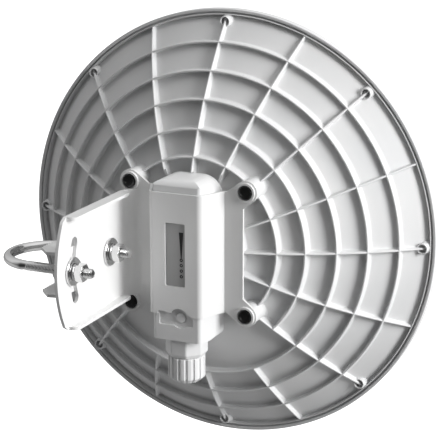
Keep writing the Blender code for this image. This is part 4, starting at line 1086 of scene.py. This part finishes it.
# ---------------------------------------------------------------- floor, light and camera
def make_stage():
    bm = bmesh.new()
    bmesh.ops.create_grid(bm, x_segments=2, y_segments=2, size=20)
    mesh = bpy.data.meshes.new("floor")
    bm.to_mesh(mesh)
    bm.free()
    ground = bpy.data.objects.new("floor", mesh)
    ground.location = (0, 0, FLOOR_Z)
    bpy.context.scene.collection.objects.link(ground)
    paint = shader_material("pale_floor", (0.9, 0.9, 0.9), 0.9)
    shader = paint.node_tree.nodes["Principled BSDF"]
    shader.inputs["Emission Color"].default_value = (1, 1, 1, 1)
    shader.inputs["Emission Strength"].default_value = 0.75
    mesh.materials.append(paint)
    ground.visible_diffuse = False
    ground.visible_glossy = False


def world_ramp(tree, source, stops):
    """A grey level along one component of the direction, from -1 to 1."""
    shift = add_node(tree, "ShaderNodeMapRange")
    shift.inputs["From Min"].default_value = -1.0
    shift.inputs["From Max"].default_value = 1.0
    ramp = tree.nodes.new("ShaderNodeValToRGB")
    elements = ramp.color_ramp.elements
    elements.remove(elements[1])
    for index, (component, level) in enumerate(stops):
        position = (component + 1) / 2
        element = elements[0] if index == 0 else elements.new(position)
        element.position = position
        element.color = (level, level, level, 1)
    tree.links.new(source, shift.inputs["Value"])
    tree.links.new(shift.outputs["Result"], ramp.inputs["Fac"])
    return ramp.outputs["Color"]


def product(tree, first, second):
    node = tree.nodes.new("ShaderNodeVectorMath")
    node.operation = "MULTIPLY"
    tree.links.new(first, node.inputs[0])
    tree.links.new(second, node.inputs[1])
    return node.outputs["Vector"]


SKY_ALONG_Y = [(-1, 0.04), (-0.75, 0.16), (-0.45, 0.75), (-0.2, 1.2), (0, 1.2), (1, 0.85)]
SKY_ALONG_X = [(-1, 0.80), (-0.5, 0.66), (0.3, 0.90), (1, 0.95)]
SKY_ALONG_Z = [(-1, 0.55), (-0.25, 0.65), (-0.05, 0.35), (0.15, 0.75), (1, 1.0)]


def make_world():
    """A soft studio: bright round the sides and above, dark behind the dish, dimmer below and to the left."""
    world = bpy.data.worlds.new("studio")
    bpy.context.scene.world = world
    world.use_nodes = True
    tree = world.node_tree
    background = tree.nodes["Background"]
    coordinates = tree.nodes.new("ShaderNodeTexCoord")
    split = tree.nodes.new("ShaderNodeSeparateXYZ")
    tree.links.new(coordinates.outputs["Generated"], split.inputs["Vector"])
    along = world_ramp(tree, split.outputs["Y"], SKY_ALONG_Y)
    across = world_ramp(tree, split.outputs["X"], SKY_ALONG_X)
    upward = world_ramp(tree, split.outputs["Z"], SKY_ALONG_Z)
    level = product(tree, product(tree, along, across), upward)
    tree.links.new(level, background.inputs["Color"])
    background.inputs["Strength"].default_value = 1.0


def make_light():
    """One large soft disk, level with the dish's right side."""
    light = bpy.data.lights.new("key", "AREA")
    light.shape = "DISK"
    light.size = 1.6
    light.energy = 88
    target = DISH_PLACE + Vector((0, -0.06, 0))
    place = target + Vector((2.8, -0.35, 0.95))
    made = bpy.data.objects.new("key", light)
    made.location = place
    made.rotation_euler = (place - target).to_track_quat("Z", "Y").to_euler()
    bpy.context.scene.collection.objects.link(made)


def make_camera():
    """Looks at the back of the dish from the right and from above, with a long lens."""
    camera = bpy.data.cameras.new("camera")
    camera.sensor_width = 36.0
    camera.lens = 131.4
    camera.clip_start = 0.01
    made = bpy.data.objects.new("camera", camera)
    azimuth, elevation, distance = radians(24.04), radians(14.72), 1.359
    back = Vector((sin(azimuth) * cos(elevation), -cos(azimuth) * cos(elevation), sin(elevation)))
    aim = DISH_PLACE + Vector((-6.2, 0, 3.9)) * MM
    made.location = aim + back * distance
    made.rotation_euler = back.to_track_quat("Z", "Y").to_euler()
    bpy.context.scene.collection.objects.link(made)
    bpy.context.scene.camera = made


make_dish()
make_radome()
make_rim_screws()
make_housing()
make_lid()
make_button()
make_label()
make_gland_body()
make_gland_nut()
make_gland_seal()
make_bracket()
make_bracket_bolts()
make_clamp()
make_u_bolt()
make_stud_hardware()
paint_cad()
make_stage()
make_world()
make_light()
make_camera()
bpy.context.scene.view_settings.view_transform = "Standard"
